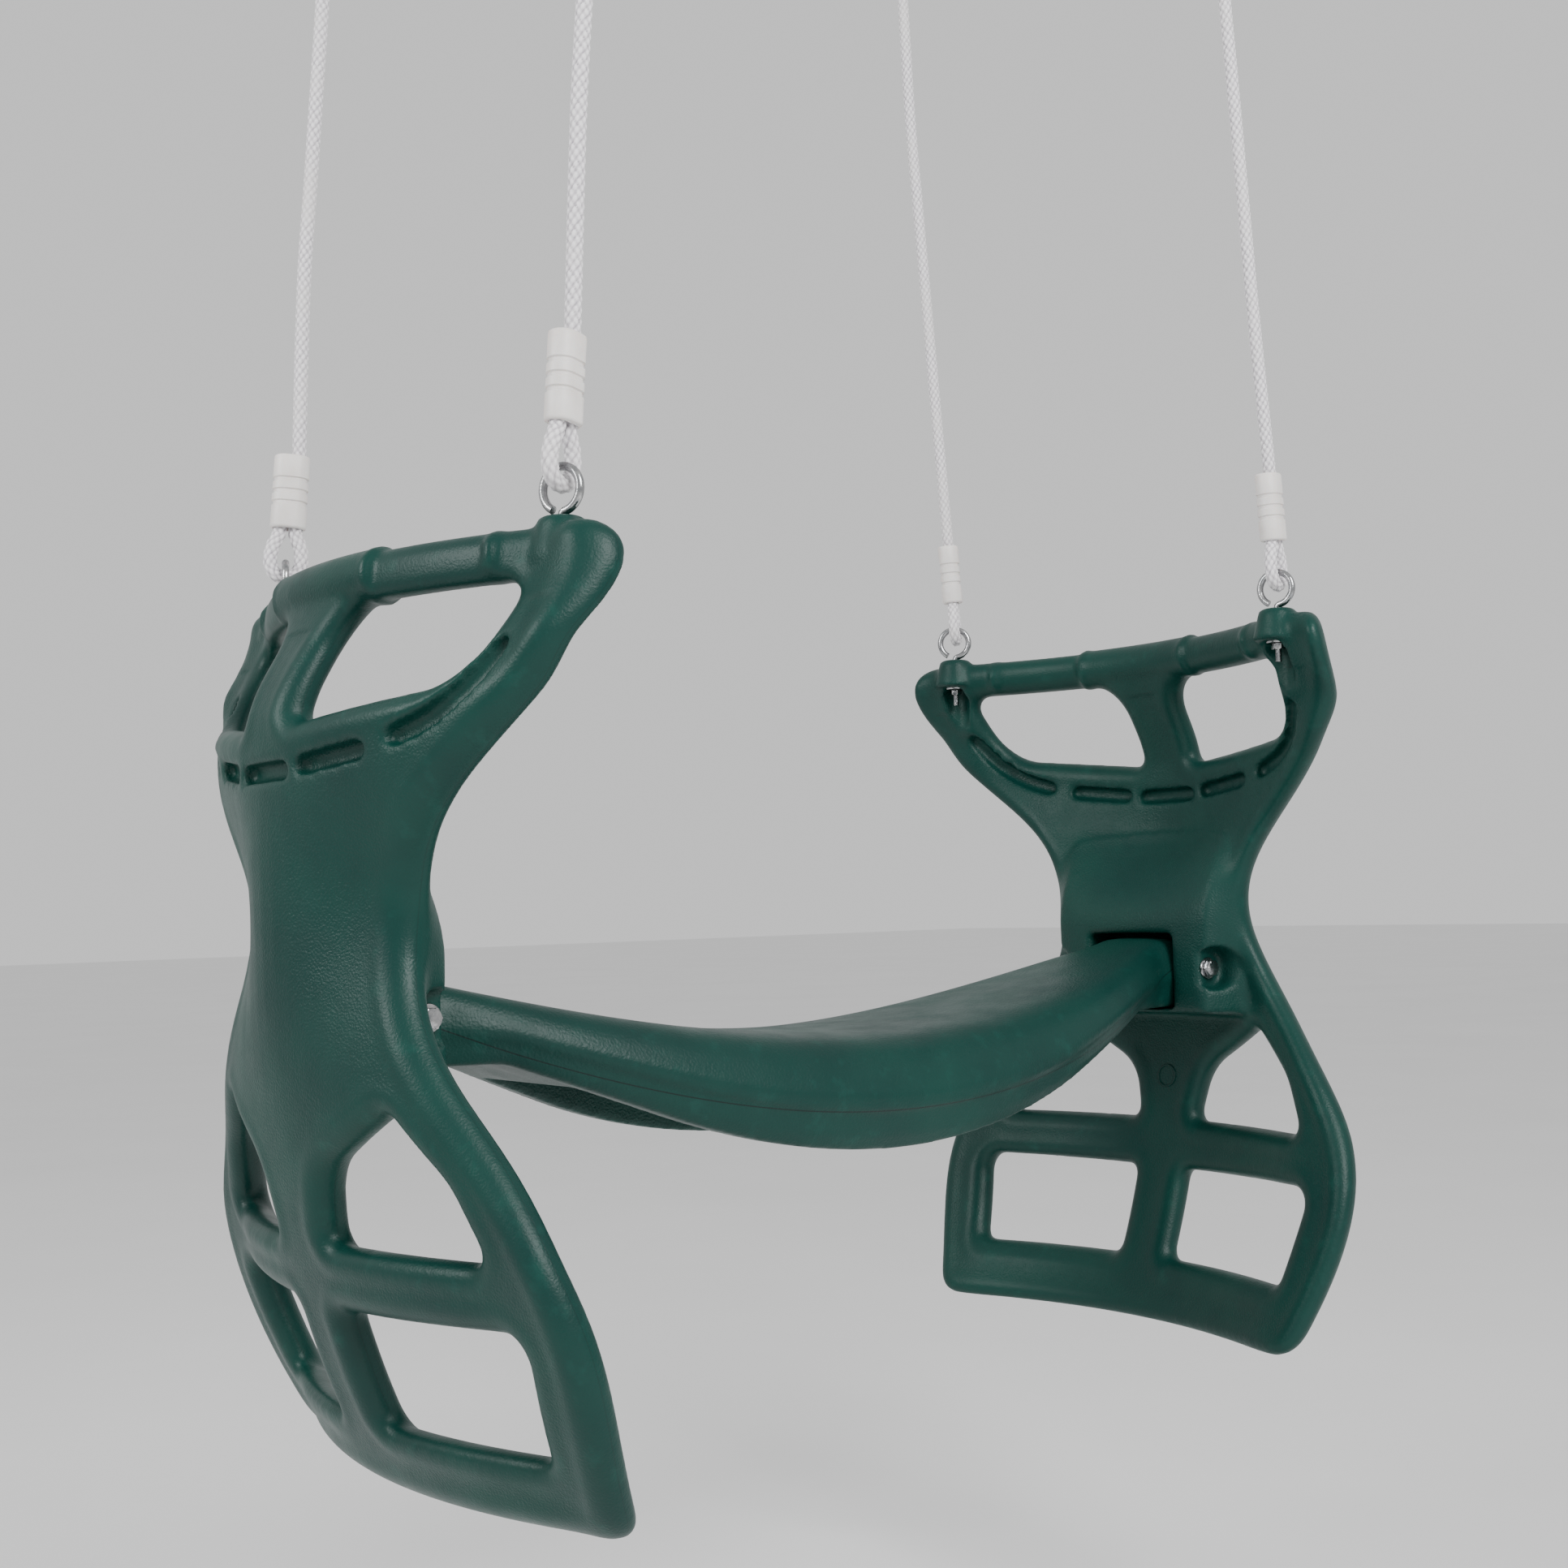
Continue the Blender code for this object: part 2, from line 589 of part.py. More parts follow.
def thin_out(fine, bend_limit, longest):
    """Keep a point where the line has turned or run far enough since the last one."""
    kept = [fine[0]]
    heading = (fine[1] - fine[0]).normalized()
    for before, here in zip(fine[1:], fine[2:]):
        ahead = (here - before).normalized()
        if heading.angle(ahead) > bend_limit or (here - kept[-1]).length > longest:
            kept.append(before)
            heading = ahead
    kept.append(fine[-1])
    return kept


def oval_outline(half_wide, half_deep, steps):
    """Stadium-like oval: two half circles joined by straights."""
    straight = half_wide - half_deep
    points = []
    for side in (1, -1):
        for k in range(steps + 1):
            turn = math.pi * (k / steps - 0.5)
            points.append((side * (straight + half_deep * math.cos(turn)), side * half_deep * math.sin(turn)))
    return points


def sleeve(name, start, rise, wide, material):
    """Crimped plastic sleeve with an oval way for the two runs of rope."""
    deep = rise.cross(wide)
    bm = bmesh.new()
    rings = []
    levels = [(0.0, -0.0008), (0.0020, 0.0), (SLEEVE_L - 0.0020, 0.0), (SLEEVE_L, -0.0008)]
    for run, shrink in levels:
        outer = oval_outline(0.0132 + shrink, 0.0096 + shrink, 5)
        rings.append([bm.verts.new(start + rise * run + wide * a + deep * b) for a, b in outer])
    bore = oval_outline(TAIL_OFFSET + ROPE_R + 0.0008, ROPE_R + 0.0008, 5)
    for run in (SLEEVE_L, 0.0):
        rings.append([bm.verts.new(start + rise * run + wide * a + deep * b) for a, b in bore])
    for ring, after in zip(rings, rings[1:] + rings[:1]):
        for i in range(len(ring)):
            bm.faces.new((ring[i - 1], ring[i], after[i], after[i - 1]))
    return to_object(name, bm, material)


def rope_set(tag, x_low, y, heading, x_top, rope_material, sleeve_material):
    low = Vector((x_low, y, level(LOWER_PIVOT_H)))
    top = Vector((x_top, y, UPPER_PIVOT_Z))
    rise = (top - low).normalized()
    line = smooth_line(rope_route(x_low, y, heading, x_top))
    add_tube("rope_" + tag, thin_out(line, math.radians(14.0), 0.030), ROPE_R, 2, rope_material)
    wide = Vector((math.cos(heading), math.sin(heading), 0.0))
    wide = (wide - rise * wide.dot(rise)).normalized()
    sleeve("lower_sleeve_" + tag, low + rise * SLEEVE_RISE, rise, wide, sleeve_material)
    far = Vector((1.0, 0.0, 0.0))
    far = (far - rise * far.dot(rise)).normalized()
    sleeve("upper_sleeve_" + tag, top - rise * (SLEEVE_RISE + SLEEVE_L), rise, far, sleeve_material)


def hanger(tag, x, y, material):
    """Beam plate with a closed wire bail under it; the rope hangs from the bail."""
    plate = box("beam_hanger_" + tag, (x - 0.022, y - 0.048, -0.005), (x + 0.022, y + 0.048, 0.0))
    plate.data.materials.append(material)
    points = [(x, y - 0.016, -0.003), (x, y - 0.016, UPPER_PIVOT_Z + 0.014)]
    for k in range(1, 8):
        turn = math.pi * k / 8
        points.append((x, y - 0.016 * math.cos(turn), UPPER_PIVOT_Z + 0.014 - 0.014 * math.sin(turn)))
    points += [(x, y + 0.016, UPPER_PIVOT_Z + 0.014), (x, y + 0.016, -0.003)]
    plate = combine(plate, [baked_tube("bail", [Vector(p) for p in points], 0.0036, 3)], "UNION")
    holes = [cylinder("screw_hole", 0.0042, (x, y + side * 0.035, -0.02), (x, y + side * 0.035, 0.02), 14)
             for side in (-1, 1)]
    return combine(plate, holes, "DIFFERENCE")


CORNERS = [("left_near", -1, -1, 20.0), ("left_far", -1, 1, -25.0),
           ("right_near", 1, -1, 15.0), ("right_far", 1, 1, 40.0)]


def main():
    clear_scene()
    green = plastic("moulded_green", GREEN, 0.42)
    zinc = plastic("zinc_plate", ZINC, 0.30, 1.0)
    rope_white = plastic("rope_white", ROPE_WHITE, 0.85)
    sleeve_white = plastic("sleeve_white", SLEEVE_WHITE, 0.55)
    end_panel("end_panel_left", -1, green)
    end_panel("end_panel_right", 1, green)
    seat(green)
    seat_bolt_set("left", -SEAT_BOLT_X, zinc)
    seat_bolt_set("right", SEAT_BOLT_X, zinc)
    for tag, side_x, side_y, heading in CORNERS:
        x = side_x * EYE_X
        y = side_y * EYE_Y
        eye_hardware(tag, x, y, math.radians(heading), zinc)
        slack = RIGHT_SLACK if side_x > 0 else 0.0
        rope_set(tag, x + slack, y, math.radians(heading), side_x * HANGER_X, rope_white, sleeve_white)
        hanger(tag, side_x * HANGER_X, y, zinc)


main()
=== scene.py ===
# %% [markdown]
# # A back-to-back glider swing
# Two hourglass end panels of moulded plastic carry a saddle seat between them. Two riders sit back
# to back, hold the bars at the top of the panels and push on the bars at the bottom. Four ropes
# hold the glider, and each ends in a loop that a moulded sleeve keeps shut.
#
# The working model comes in first, as a fixed frame. It already has every size and every joint.
# The finer pieces below are made over it, in the same place, and ride on its bodies.

# %% Load the frame
import json
import math

import bmesh
import bpy
from mathutils import Matrix, Vector
from mathutils.kdtree import KDTree


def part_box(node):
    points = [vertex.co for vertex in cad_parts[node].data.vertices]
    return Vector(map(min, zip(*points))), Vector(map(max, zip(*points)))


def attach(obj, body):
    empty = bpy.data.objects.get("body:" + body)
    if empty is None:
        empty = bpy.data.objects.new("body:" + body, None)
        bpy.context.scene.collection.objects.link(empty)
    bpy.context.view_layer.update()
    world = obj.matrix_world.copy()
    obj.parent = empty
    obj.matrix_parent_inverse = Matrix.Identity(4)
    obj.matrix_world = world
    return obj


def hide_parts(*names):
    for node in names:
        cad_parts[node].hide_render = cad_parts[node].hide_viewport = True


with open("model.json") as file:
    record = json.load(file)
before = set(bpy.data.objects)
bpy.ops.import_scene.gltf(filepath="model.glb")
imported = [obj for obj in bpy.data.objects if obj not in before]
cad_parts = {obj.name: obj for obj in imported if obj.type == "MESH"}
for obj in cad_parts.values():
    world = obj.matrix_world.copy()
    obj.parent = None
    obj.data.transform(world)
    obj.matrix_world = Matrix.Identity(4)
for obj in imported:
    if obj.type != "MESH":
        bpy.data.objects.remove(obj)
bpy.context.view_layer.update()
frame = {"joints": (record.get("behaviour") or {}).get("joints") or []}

# %% [markdown]
# ## Measures
# A finer piece has to land on the working one, so places are read from the frame where it can say
# them: the pivots of the joints, and the level of the feet. Heights in this file count up from the
# feet, which is how a person with a tape would take them.

# %% Take the measures from the frame
pivots = {joint["name"]: Vector(joint["pos_m"]) for joint in frame["joints"]}
FEET_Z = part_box("end_panel_left")[0].z
EYE_X = -pivots["glider_level"].x
EYE_Y = (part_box("eye_nut_right_far")[0].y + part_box("eye_nut_right_far")[1].y) / 2
LOWER_PIVOT_Z = pivots["glider_level"].z
HANGER_X = pivots["right_rope_swing"].x
UPPER_PIVOT_Z = pivots["glide"].z
GAP = 0.0003


def level(height):
    """World height of a point that stands this far above the feet."""
    return FEET_Z + height


def smoothstep(value):
    t = min(1.0, max(0.0, value))
    return t * t * (3.0 - 2.0 * t)


print("feet at", round(FEET_Z, 3), "m, eyes", round(2 * EYE_X, 3), "m apart")

# %% [markdown]
# ## Camera
# The camera stands low and close to one end panel, a little above the seat, and looks along the
# glider. Its turn is given as a person would turn a tripod head: a pan, a tilt and a small roll.

# %% Place the camera
CAMERA_PLACE = Vector((-0.973, -1.147, level(0.373)))
CAMERA_LENS = 44.0
CAMERA_PAN = math.radians(50.5)
CAMERA_TILT = math.radians(3.56)
CAMERA_ROLL = math.radians(-1.44)


def add_camera(place, pan, tilt, roll, lens):
    data = bpy.data.cameras.new("camera")
    data.sensor_width = 36.0
    data.lens = lens
    data.clip_start = 0.05
    camera = bpy.data.objects.new("camera", data)
    bpy.context.collection.objects.link(camera)
    flat = math.cos(tilt)
    ahead = Vector((math.cos(pan) * flat, math.sin(pan) * flat, math.sin(tilt)))
    right = Vector((math.sin(pan), -math.cos(pan), 0.0))
    up = right.cross(ahead)
    right, up = (right * math.cos(roll) + up * math.sin(roll),
                 up * math.cos(roll) - right * math.sin(roll))
    turn = Matrix((right, up, -ahead)).transposed().to_4x4()
    camera.matrix_world = Matrix.Translation(place) @ turn
    bpy.context.scene.camera = camera


add_camera(CAMERA_PLACE, CAMERA_PAN, CAMERA_TILT, CAMERA_ROLL, CAMERA_LENS)
print("camera:", round(CAMERA_PLACE.length, 2), "m from the hangers' middle")

# %% [markdown]
# ## Helpers that shape a mesh
# Most round pieces here are one idea: a ring of corners drawn through a row of levels. A washer, a
# nut, a sleeve and a rope only differ in the ring's shape. Extruding the ring keeps every corner's
# angle in a layer, so the corners can be placed by a formula after each step.

# %% Finish a bmesh as an object
def finished(name, bm, material, sharp_angle=40.0):
    """Link the mesh as an object at the origin, shaded smooth up to the given crease angle."""
    mesh = bpy.data.meshes.new(name)
    bm.to_mesh(mesh)
    bm.free()
    mesh.shade_smooth()
    mesh.set_sharp_from_angle(angle=math.radians(sharp_angle))
    if material is not None:
        mesh.materials.append(material)
    obj = bpy.data.objects.new(name, mesh)
    bpy.context.collection.objects.link(obj)
    return obj


# %% Draw a ring through levels
def lofted(bm, levels, section, place, segments, closed=False):
    """Draw a ring through the levels; section(turn, *sizes) says where a corner lies across.

    A level is (run, *sizes). place is the matrix from (across, across, run) to the world.
    """
    around = bm.verts.layers.float.get("around") or bm.verts.layers.float.new("around")
    ring = bmesh.ops.create_circle(bm, cap_ends=False, segments=segments, radius=1.0)["verts"]
    edges = list(dict.fromkeys(edge for vert in ring for edge in vert.link_edges))
    first = ring
    for vert in ring:
        vert[around] = math.atan2(vert.co.y, vert.co.x)
    for number, (run, *sizes) in enumerate(levels):
        if number:
            grown = bmesh.ops.extrude_edge_only(bm, edges=edges)["geom"]
            ring = [item for item in grown if isinstance(item, bmesh.types.BMVert)]
            fresh = set(ring)
            edges = [item for item in grown if isinstance(item, bmesh.types.BMEdge)
                     and all(v in fresh for v in item.verts)]
        for vert in ring:
            across = section(vert[around], *sizes)
            vert.co = place @ Vector((across[0], across[1], run))
    if closed:
        bmesh.ops.remove_doubles(bm, verts=first + ring, dist=0.000001)
    else:
        bmesh.ops.holes_fill(bm, edges=[e for e in bm.edges if e.is_boundary], sides=0)
    bmesh.ops.recalc_face_normals(bm, faces=bm.faces)


# %% Roll a tube round a path
def carried_frames(path):
    """Two cross directions at each path point, carried along without twisting."""
    side = (path[1] - path[0]).orthogonal().normalized()
    frames = []
    for i in range(len(path)):
        ahead = (path[min(i + 1, len(path) - 1)] - path[max(i - 1, 0)]).normalized()
        side = (side - ahead * side.dot(ahead)).normalized()
        frames.append((side, ahead.cross(side)))
    return frames


def rolled_tube(bm, path, radius, sides, relief=None):
    """A flat grid rolled round the path, with one row of corners to each path point.

    relief(around, run) is the extra radius. It's kept in a layer, so a material can use it.
    """
    rows = len(path) - 1
    layer = bm.verts.layers.float.get("relief") or bm.verts.layers.float.new("relief")
    known = set(bm.verts)
    bmesh.ops.create_grid(bm, x_segments=sides, y_segments=rows, size=0.5)
    sheet = [v for v in bm.verts if v not in known]
    frames = carried_frames(path)
    runs = [0.0]
    for here, after in zip(path, path[1:]):
        runs.append(runs[-1] + (after - here).length)
    for vert in sheet:
        row = round((vert.co.y + 0.5) * rows)
        around = vert.co.x + 0.5
        extra = relief(around, runs[row]) if relief else 0.0
        side, over = frames[row]
        turn = 2.0 * math.pi * around
        out = side * math.cos(turn) + over * math.sin(turn)
        vert[layer] = extra
        vert.co = path[row] + out * (radius + extra)
    bmesh.ops.remove_doubles(bm, verts=sheet, dist=0.000001)
    bmesh.ops.holes_fill(bm, edges=[e for e in bm.edges if e.is_boundary], sides=0)
    bmesh.ops.recalc_face_normals(bm, faces=bm.faces)
    return runs[-1]


# %% [markdown]
# ## The ropes' routes
# Each rope is one length of 10 mm braid. It starts as a tail in the lower sleeve, goes down round
# the eye bolt's wire, back up through the sleeve, straight up to the hanger, round the hanger's
# wire, and ends as a tail in the upper sleeve. The points are chosen, and a smooth curve is drawn
# through them, because rope has no corners.

# %% Route of one rope
ROPE_R = 0.0052
SLEEVE_L = 0.056
SLEEVE_RISE = 0.026     # from a pivot to the nearer end of its sleeve
LOOP_R = 0.0112         # bend of the rope round a wire
TAIL_OFFSET = 0.0056    # half the distance between the two runs in a sleeve
TAIL_SHORT = 0.008      # a tail stops this far short of its sleeve's other end
LEAN_IN = 0.0008        # the main run leaves its sleeve this much nearer the middle
HANGER_LOOP_R = LOOP_R + 0.0012
NECK_RISES = (0.020, 0.011)     # two stops between the sleeve and the loop
EYE_NECK = (TAIL_OFFSET + 0.0010, LOOP_R - 0.0009)
HANGER_NECK = (TAIL_OFFSET + 0.0012, LOOP_R + 0.0002)


def across_line(direction, rise):
    """The part of a direction that is square to the rope."""
    return (direction - rise * direction.dot(rise)).normalized()


def loop_round(pivot, away, side, bow, neck):
    """End of the main run, loop round a wire, and the tail. away points from wire to sleeve."""
    stops = [(SLEEVE_RISE + SLEEVE_L, TAIL_OFFSET - LEAN_IN),
             (SLEEVE_RISE + SLEEVE_L / 2, TAIL_OFFSET), (SLEEVE_RISE, TAIL_OFFSET)]
    stops += zip(NECK_RISES, neck)
    points = [pivot + away * run + side * offset for run, offset in stops]
    for k in range(5):
        turn = math.pi * k / 4
        points.append(pivot + side * bow * math.cos(turn) - away * bow * math.sin(turn))
    stops[0] = (SLEEVE_RISE + SLEEVE_L - TAIL_SHORT, TAIL_OFFSET)
    points += [pivot + away * run - side * offset for run, offset in reversed(stops)]
    return points


print("rope:", round(2000 * ROPE_R, 1), "mm thick, loops of", round(2000 * LOOP_R, 1), "mm")

# %% [markdown]
# A rope has no corners, so a Catmull-Rom curve goes through the chosen points. Its own points lie
# closer together in the tight bends, so they are spaced again before a tube is rolled round them.

# %% Smooth the route and space its points evenly
def smooth_line(route):
    """Close-set points along the Catmull-Rom curve through the route."""
    fine = []
    padded = [route[0] * 2 - route[1]] + route + [route[-1] * 2 - route[-2]]
    for a, b, c, d in zip(padded, padded[1:], padded[2:], padded[3:]):
        for k in range(12):
            t = k / 12
            fine.append(0.5 * (2 * b + (c - a) * t + (2 * a - 5 * b + 4 * c - d) * t * t
                               + (3 * b - a - 3 * c + d) * t ** 3))
    fine.append(route[-1])
    return fine


def evenly(line, step):
    """Points the same distance apart along a line."""
    marks = [0.0]
    for here, after in zip(line, line[1:]):
        marks.append(marks[-1] + (after - here).length)
    count = max(1, round(marks[-1] / step))
    spaced = []
    i = 0
    for k in range(count + 1):
        run = marks[-1] * k / count
        while i < len(marks) - 2 and marks[i + 1] < run:
            i += 1
        spaced.append(line[i].lerp(line[i + 1], (run - marks[i]) / (marks[i + 1] - marks[i])))
    return spaced


# %% [markdown]
# ## Shared effects for the materials
# The finishes share a few effects, so each is a node group, built once. A group only gives out a
# height, a mask or a colour. The shader stays in the material, where its plain numbers are easy to
# find and change.
#
# Every pattern reads Object coordinates in metres, so a scale of 1000 makes features of about 1 mm.

# %% Node groups
def new_group(name, inputs, outputs):
    """An empty shader node group with its sockets, and its two end nodes."""
    group = bpy.data.node_groups.new(name, "ShaderNodeTree")
    for title, kind, value in inputs:
        socket = group.interface.new_socket(name=title, in_out="INPUT", socket_type=kind)
        if value is not None:
            socket.default_value = value
    for title, kind in outputs:
        group.interface.new_socket(name=title, in_out="OUTPUT", socket_type=kind)
    return group, group.nodes.new("NodeGroupInput"), group.nodes.new("NodeGroupOutput")


def pebble_grain_group():
    """Leather-like pebbles, as etched into a mould: a height from 0 to 1."""
    group, start, end = new_group(
        "pebble_grain",
        [("Vector", "NodeSocketVector", None), ("Scale", "NodeSocketFloat", 900.0)],
        [("Height", "NodeSocketFloat")])
    cells = group.nodes.new("ShaderNodeTexVoronoi")
    cells.feature = "SMOOTH_F1"
    cells.inputs["Smoothness"].default_value = 0.6
    soft = group.nodes.new("ShaderNodeTexNoise")
    soft.inputs["Detail"].default_value = 3.0
    mix = group.nodes.new("ShaderNodeMath")
    mix.operation = "MULTIPLY_ADD"
    mix.inputs[1].default_value = 0.5
    link = group.links.new
    link(start.outputs["Vector"], cells.inputs["Vector"])
    link(start.outputs["Vector"], soft.inputs["Vector"])
    link(start.outputs["Scale"], cells.inputs["Scale"])
    link(start.outputs["Scale"], soft.inputs["Scale"])
    link(cells.outputs["Distance"], mix.inputs[0])
    link(soft.outputs["Fac"], mix.inputs[2])
    link(mix.outputs["Value"], end.inputs["Height"])
    return group


def cloud_group():
    """Slow uneven patches between two limits, for colour, gloss and wear."""
    group, start, end = new_group(
        "clouds",
        [("Vector", "NodeSocketVector", None), ("Scale", "NodeSocketFloat", 12.0),
         ("From", "NodeSocketFloat", 0.4), ("To", "NodeSocketFloat", 0.6)],
        [("Mask", "NodeSocketFloat")])
    noise = group.nodes.new("ShaderNodeTexNoise")
    noise.inputs["Detail"].default_value = 5.0
    noise.inputs["Roughness"].default_value = 0.6
    span = group.nodes.new("ShaderNodeMapRange")
    link = group.links.new
    link(start.outputs["Vector"], noise.inputs["Vector"])
    link(start.outputs["Scale"], noise.inputs["Scale"])
    link(noise.outputs["Fac"], span.inputs["Value"])
    link(start.outputs["From"], span.inputs["From Min"])
    link(start.outputs["To"], span.inputs["From Max"])
    link(span.outputs["Result"], end.inputs["Mask"])
    return group


PEBBLES = pebble_grain_group()
CLOUDS = cloud_group()
print("node groups:", PEBBLES.name, CLOUDS.name)


# %% [markdown]
# Every finish repeats a few moves: read a layer, blend two colours, carry a value to another range,
# feed the shader. A small class names them, so that each finish below reads like a recipe.

# %% Small helpers for material nodes
class Finish:
    """A material being made: its tree, its shader and the few moves that every finish repeats."""

    def __init__(self, name):
        self.material = bpy.data.materials.new(name)
        self.material.use_nodes = True
        self.tree = self.material.node_tree
        self.shader = self.tree.nodes["Principled BSDF"]
        self.place = self.tree.nodes.new("ShaderNodeTexCoord").outputs["Object"]

    def group(self, group, output, **values):
        node = self.tree.nodes.new("ShaderNodeGroup")
        node.node_tree = group
        self.tree.links.new(self.place, node.inputs["Vector"])
        for title, value in values.items():
            node.inputs[title].default_value = value
        return node.outputs[output]

    def attribute(self, name):
        node = self.tree.nodes.new("ShaderNodeAttribute")
        node.attribute_name = name
        return node.outputs["Fac"]

    def blend(self, mask, low, high):
        """Colour between two colours, or between another output and a colour."""
        node = self.tree.nodes.new("ShaderNodeMix")
        node.data_type = "RGBA"
        self.tree.links.new(mask, node.inputs["Factor"])
        for socket, colour in ((node.inputs[6], low), (node.inputs[7], high)):
            if isinstance(colour, tuple):
                socket.default_value = (*colour, 1.0)
            else:
                self.tree.links.new(colour, socket)
        return node.outputs[2]

    def ramp(self, value, low, high, from_low=0.0, from_high=1.0):
        """Value carried from one range to another."""
        node = self.tree.nodes.new("ShaderNodeMapRange")
        node.inputs["From Min"].default_value = from_low
        node.inputs["From Max"].default_value = from_high
        node.inputs["To Min"].default_value = low
        node.inputs["To Max"].default_value = high
        self.tree.links.new(value, node.inputs["Value"])
        return node.outputs["Result"]

    def combine(self, operation, first, second):
        node = self.tree.nodes.new("ShaderNodeMath")
        node.operation = operation
        for socket, value in zip(node.inputs, (first, second)):
            if isinstance(value, (int, float)):
                socket.default_value = value
            else:
                self.tree.links.new(value, socket)
        return node.outputs["Value"]

    def feed(self, value, title):
        self.tree.links.new(value, self.shader.inputs[title])

    def bump(self, height, distance):
        node = self.tree.nodes.new("ShaderNodeBump")
        node.inputs["Distance"].default_value = distance
        node.inputs["Strength"].default_value = 1.0
        self.tree.links.new(height, node.inputs["Height"])
        self.feed(node.outputs["Normal"], "Normal")


# %% [markdown]
# ## Moulded green plastic
# The panels and the seat are polyethylene, coloured all through. The mould gives the broad faces a
# fine pebble grain, and leaves the rims smoother, so they catch longer highlights. A layer called
# "rim" says how near a point is to an edge, and the grain fades out with it. Faint pale patches are
# painted into the colour, mostly near the rims. They are partly rubs from hands and shoes, and partly
# a painted highlight along the rounded edges. A second layer, "seam", holds the distance from the
# line where the mould's halves met, so that the line stays thin and crisp. The line's dark colour is
# painted shade along the seam.

# %% Make the green plastic
GREEN_DEEP = (0.0003, 0.027, 0.022)
GREEN_LIGHT = (0.0008, 0.037, 0.028)
# Pale colour painted near the rims: partly wear, partly a painted highlight on the rounded edges.
GREEN_RUB_AND_RIM_HIGHLIGHT = (0.005, 0.066, 0.050)
# Painted shade for the thin line where the mould's halves met.
GREEN_SEAM_SHADE = (0.0002, 0.008, 0.007)
GREEN_SPECULAR = 0.24
SEAM_HALF = 0.0006      # half the width of the line where the mould's halves met


def moulded_green(name, grain_scale, grain_depth, sheen_low, sheen_high, seam_shade_strength):
    finish = Finish(name)
    finish.shader.inputs["Specular IOR Level"].default_value = GREEN_SPECULAR
    patches = finish.group(CLOUDS, "Mask", Scale=9.0, From=0.35, To=0.65)
    colour = finish.blend(patches, GREEN_DEEP, GREEN_LIGHT)
    # Pale patches weighted towards the rims: partly rubs, partly a painted highlight on the rounded
    # edges.
    rubs = finish.group(CLOUDS, "Mask", Scale=60.0, From=0.56, To=0.80)
    rim = finish.attribute("rim")
    rubs_and_rim_highlight = finish.combine("MULTIPLY", rubs, finish.ramp(rim, 0.10, 0.45))
    # A thin dark line of painted shade along the mould's parting line.
    away = finish.combine("ABSOLUTE", finish.attribute("seam"), 0.0)
    seam = finish.ramp(away, seam_shade_strength, 0.0, SEAM_HALF * 0.4, SEAM_HALF)
    rubbed_and_rim_lit = finish.blend(rubs_and_rim_highlight, colour, GREEN_RUB_AND_RIM_HIGHLIGHT)
    finish.feed(finish.blend(seam, rubbed_and_rim_lit, GREEN_SEAM_SHADE), "Base Color")
    gloss = finish.group(CLOUDS, "Mask", Scale=25.0, From=0.3, To=0.7)
    finish.feed(finish.ramp(gloss, sheen_low, sheen_high), "Roughness")
    grain = finish.group(PEBBLES, "Height", Scale=grain_scale)
    finish.bump(finish.combine("MULTIPLY", grain, finish.ramp(rim, 1.0, 0.45)), grain_depth)
    return finish.material


panel_green = moulded_green("moulded_green_panel", 620.0, 0.00042, 0.36, 0.47, 0.25)
seat_green = moulded_green("moulded_green_seat", 520.0, 0.00055, 0.38, 0.50, 0.90)
print("materials:", panel_green.name, seat_green.name)

# %% [markdown]
# ## Zinc plate
# Eye bolts, nuts and washers are bright zinc on steel. The plate is even in colour but not in
# gloss: it is cloudy over a few millimetres, and carries fine marks from the tumbling drum.

# %% Make the zinc plate
ZINC_DARK = (0.26, 0.27, 0.28)
ZINC_PALE = (0.46, 0.46, 0.46)
HANGER_PALE = (0.42, 0.42, 0.41)


def zinc_plate(name, colour_low, colour_high, gloss_low, gloss_high):
    finish = Finish(name)
    finish.shader.inputs["Metallic"].default_value = 1.0
    patches = finish.group(CLOUDS, "Mask", Scale=180.0, From=0.35, To=0.65)
    finish.feed(finish.blend(patches, colour_low, colour_high), "Base Color")
    gloss = finish.group(CLOUDS, "Mask", Scale=420.0, From=0.3, To=0.7)
    finish.feed(finish.ramp(gloss, gloss_low, gloss_high), "Roughness")
    finish.bump(finish.group(CLOUDS, "Mask", Scale=900.0, From=0.3, To=0.7), 0.00004)
    return finish.material


bright_zinc = zinc_plate("bright_zinc", ZINC_DARK, ZINC_PALE, 0.10, 0.24)
hanger_zinc = zinc_plate("hanger_zinc", ZINC_DARK, HANGER_PALE, 0.28, 0.46)
print("materials:", bright_zinc.name, hanger_zinc.name)

# %% [markdown]
# ## Rope and sleeve
# The rope is white polyester braid. Its strands are real shape in the mesh, and the layer "relief"
# says how high a point stands, so the material can paint shade into the creases and leave the crowns
# white.
# The sleeves are off-white plastic, satin, and a little pink from age and handling.

# %% Make the rope and the sleeve plastic
RELIEF = 0.0012         # height of the braid's crowns above its core
# Painted shade for the braid's creases.
ROPE_CREASE_SHADE = (0.26, 0.23, 0.27)
ROPE_CROWN = (0.88, 0.86, 0.88)
ROPE_SOIL = (0.70, 0.68, 0.66)
SLEEVE_PALE = (0.78, 0.73, 0.70)
SLEEVE_AGED = (0.70, 0.64, 0.61)


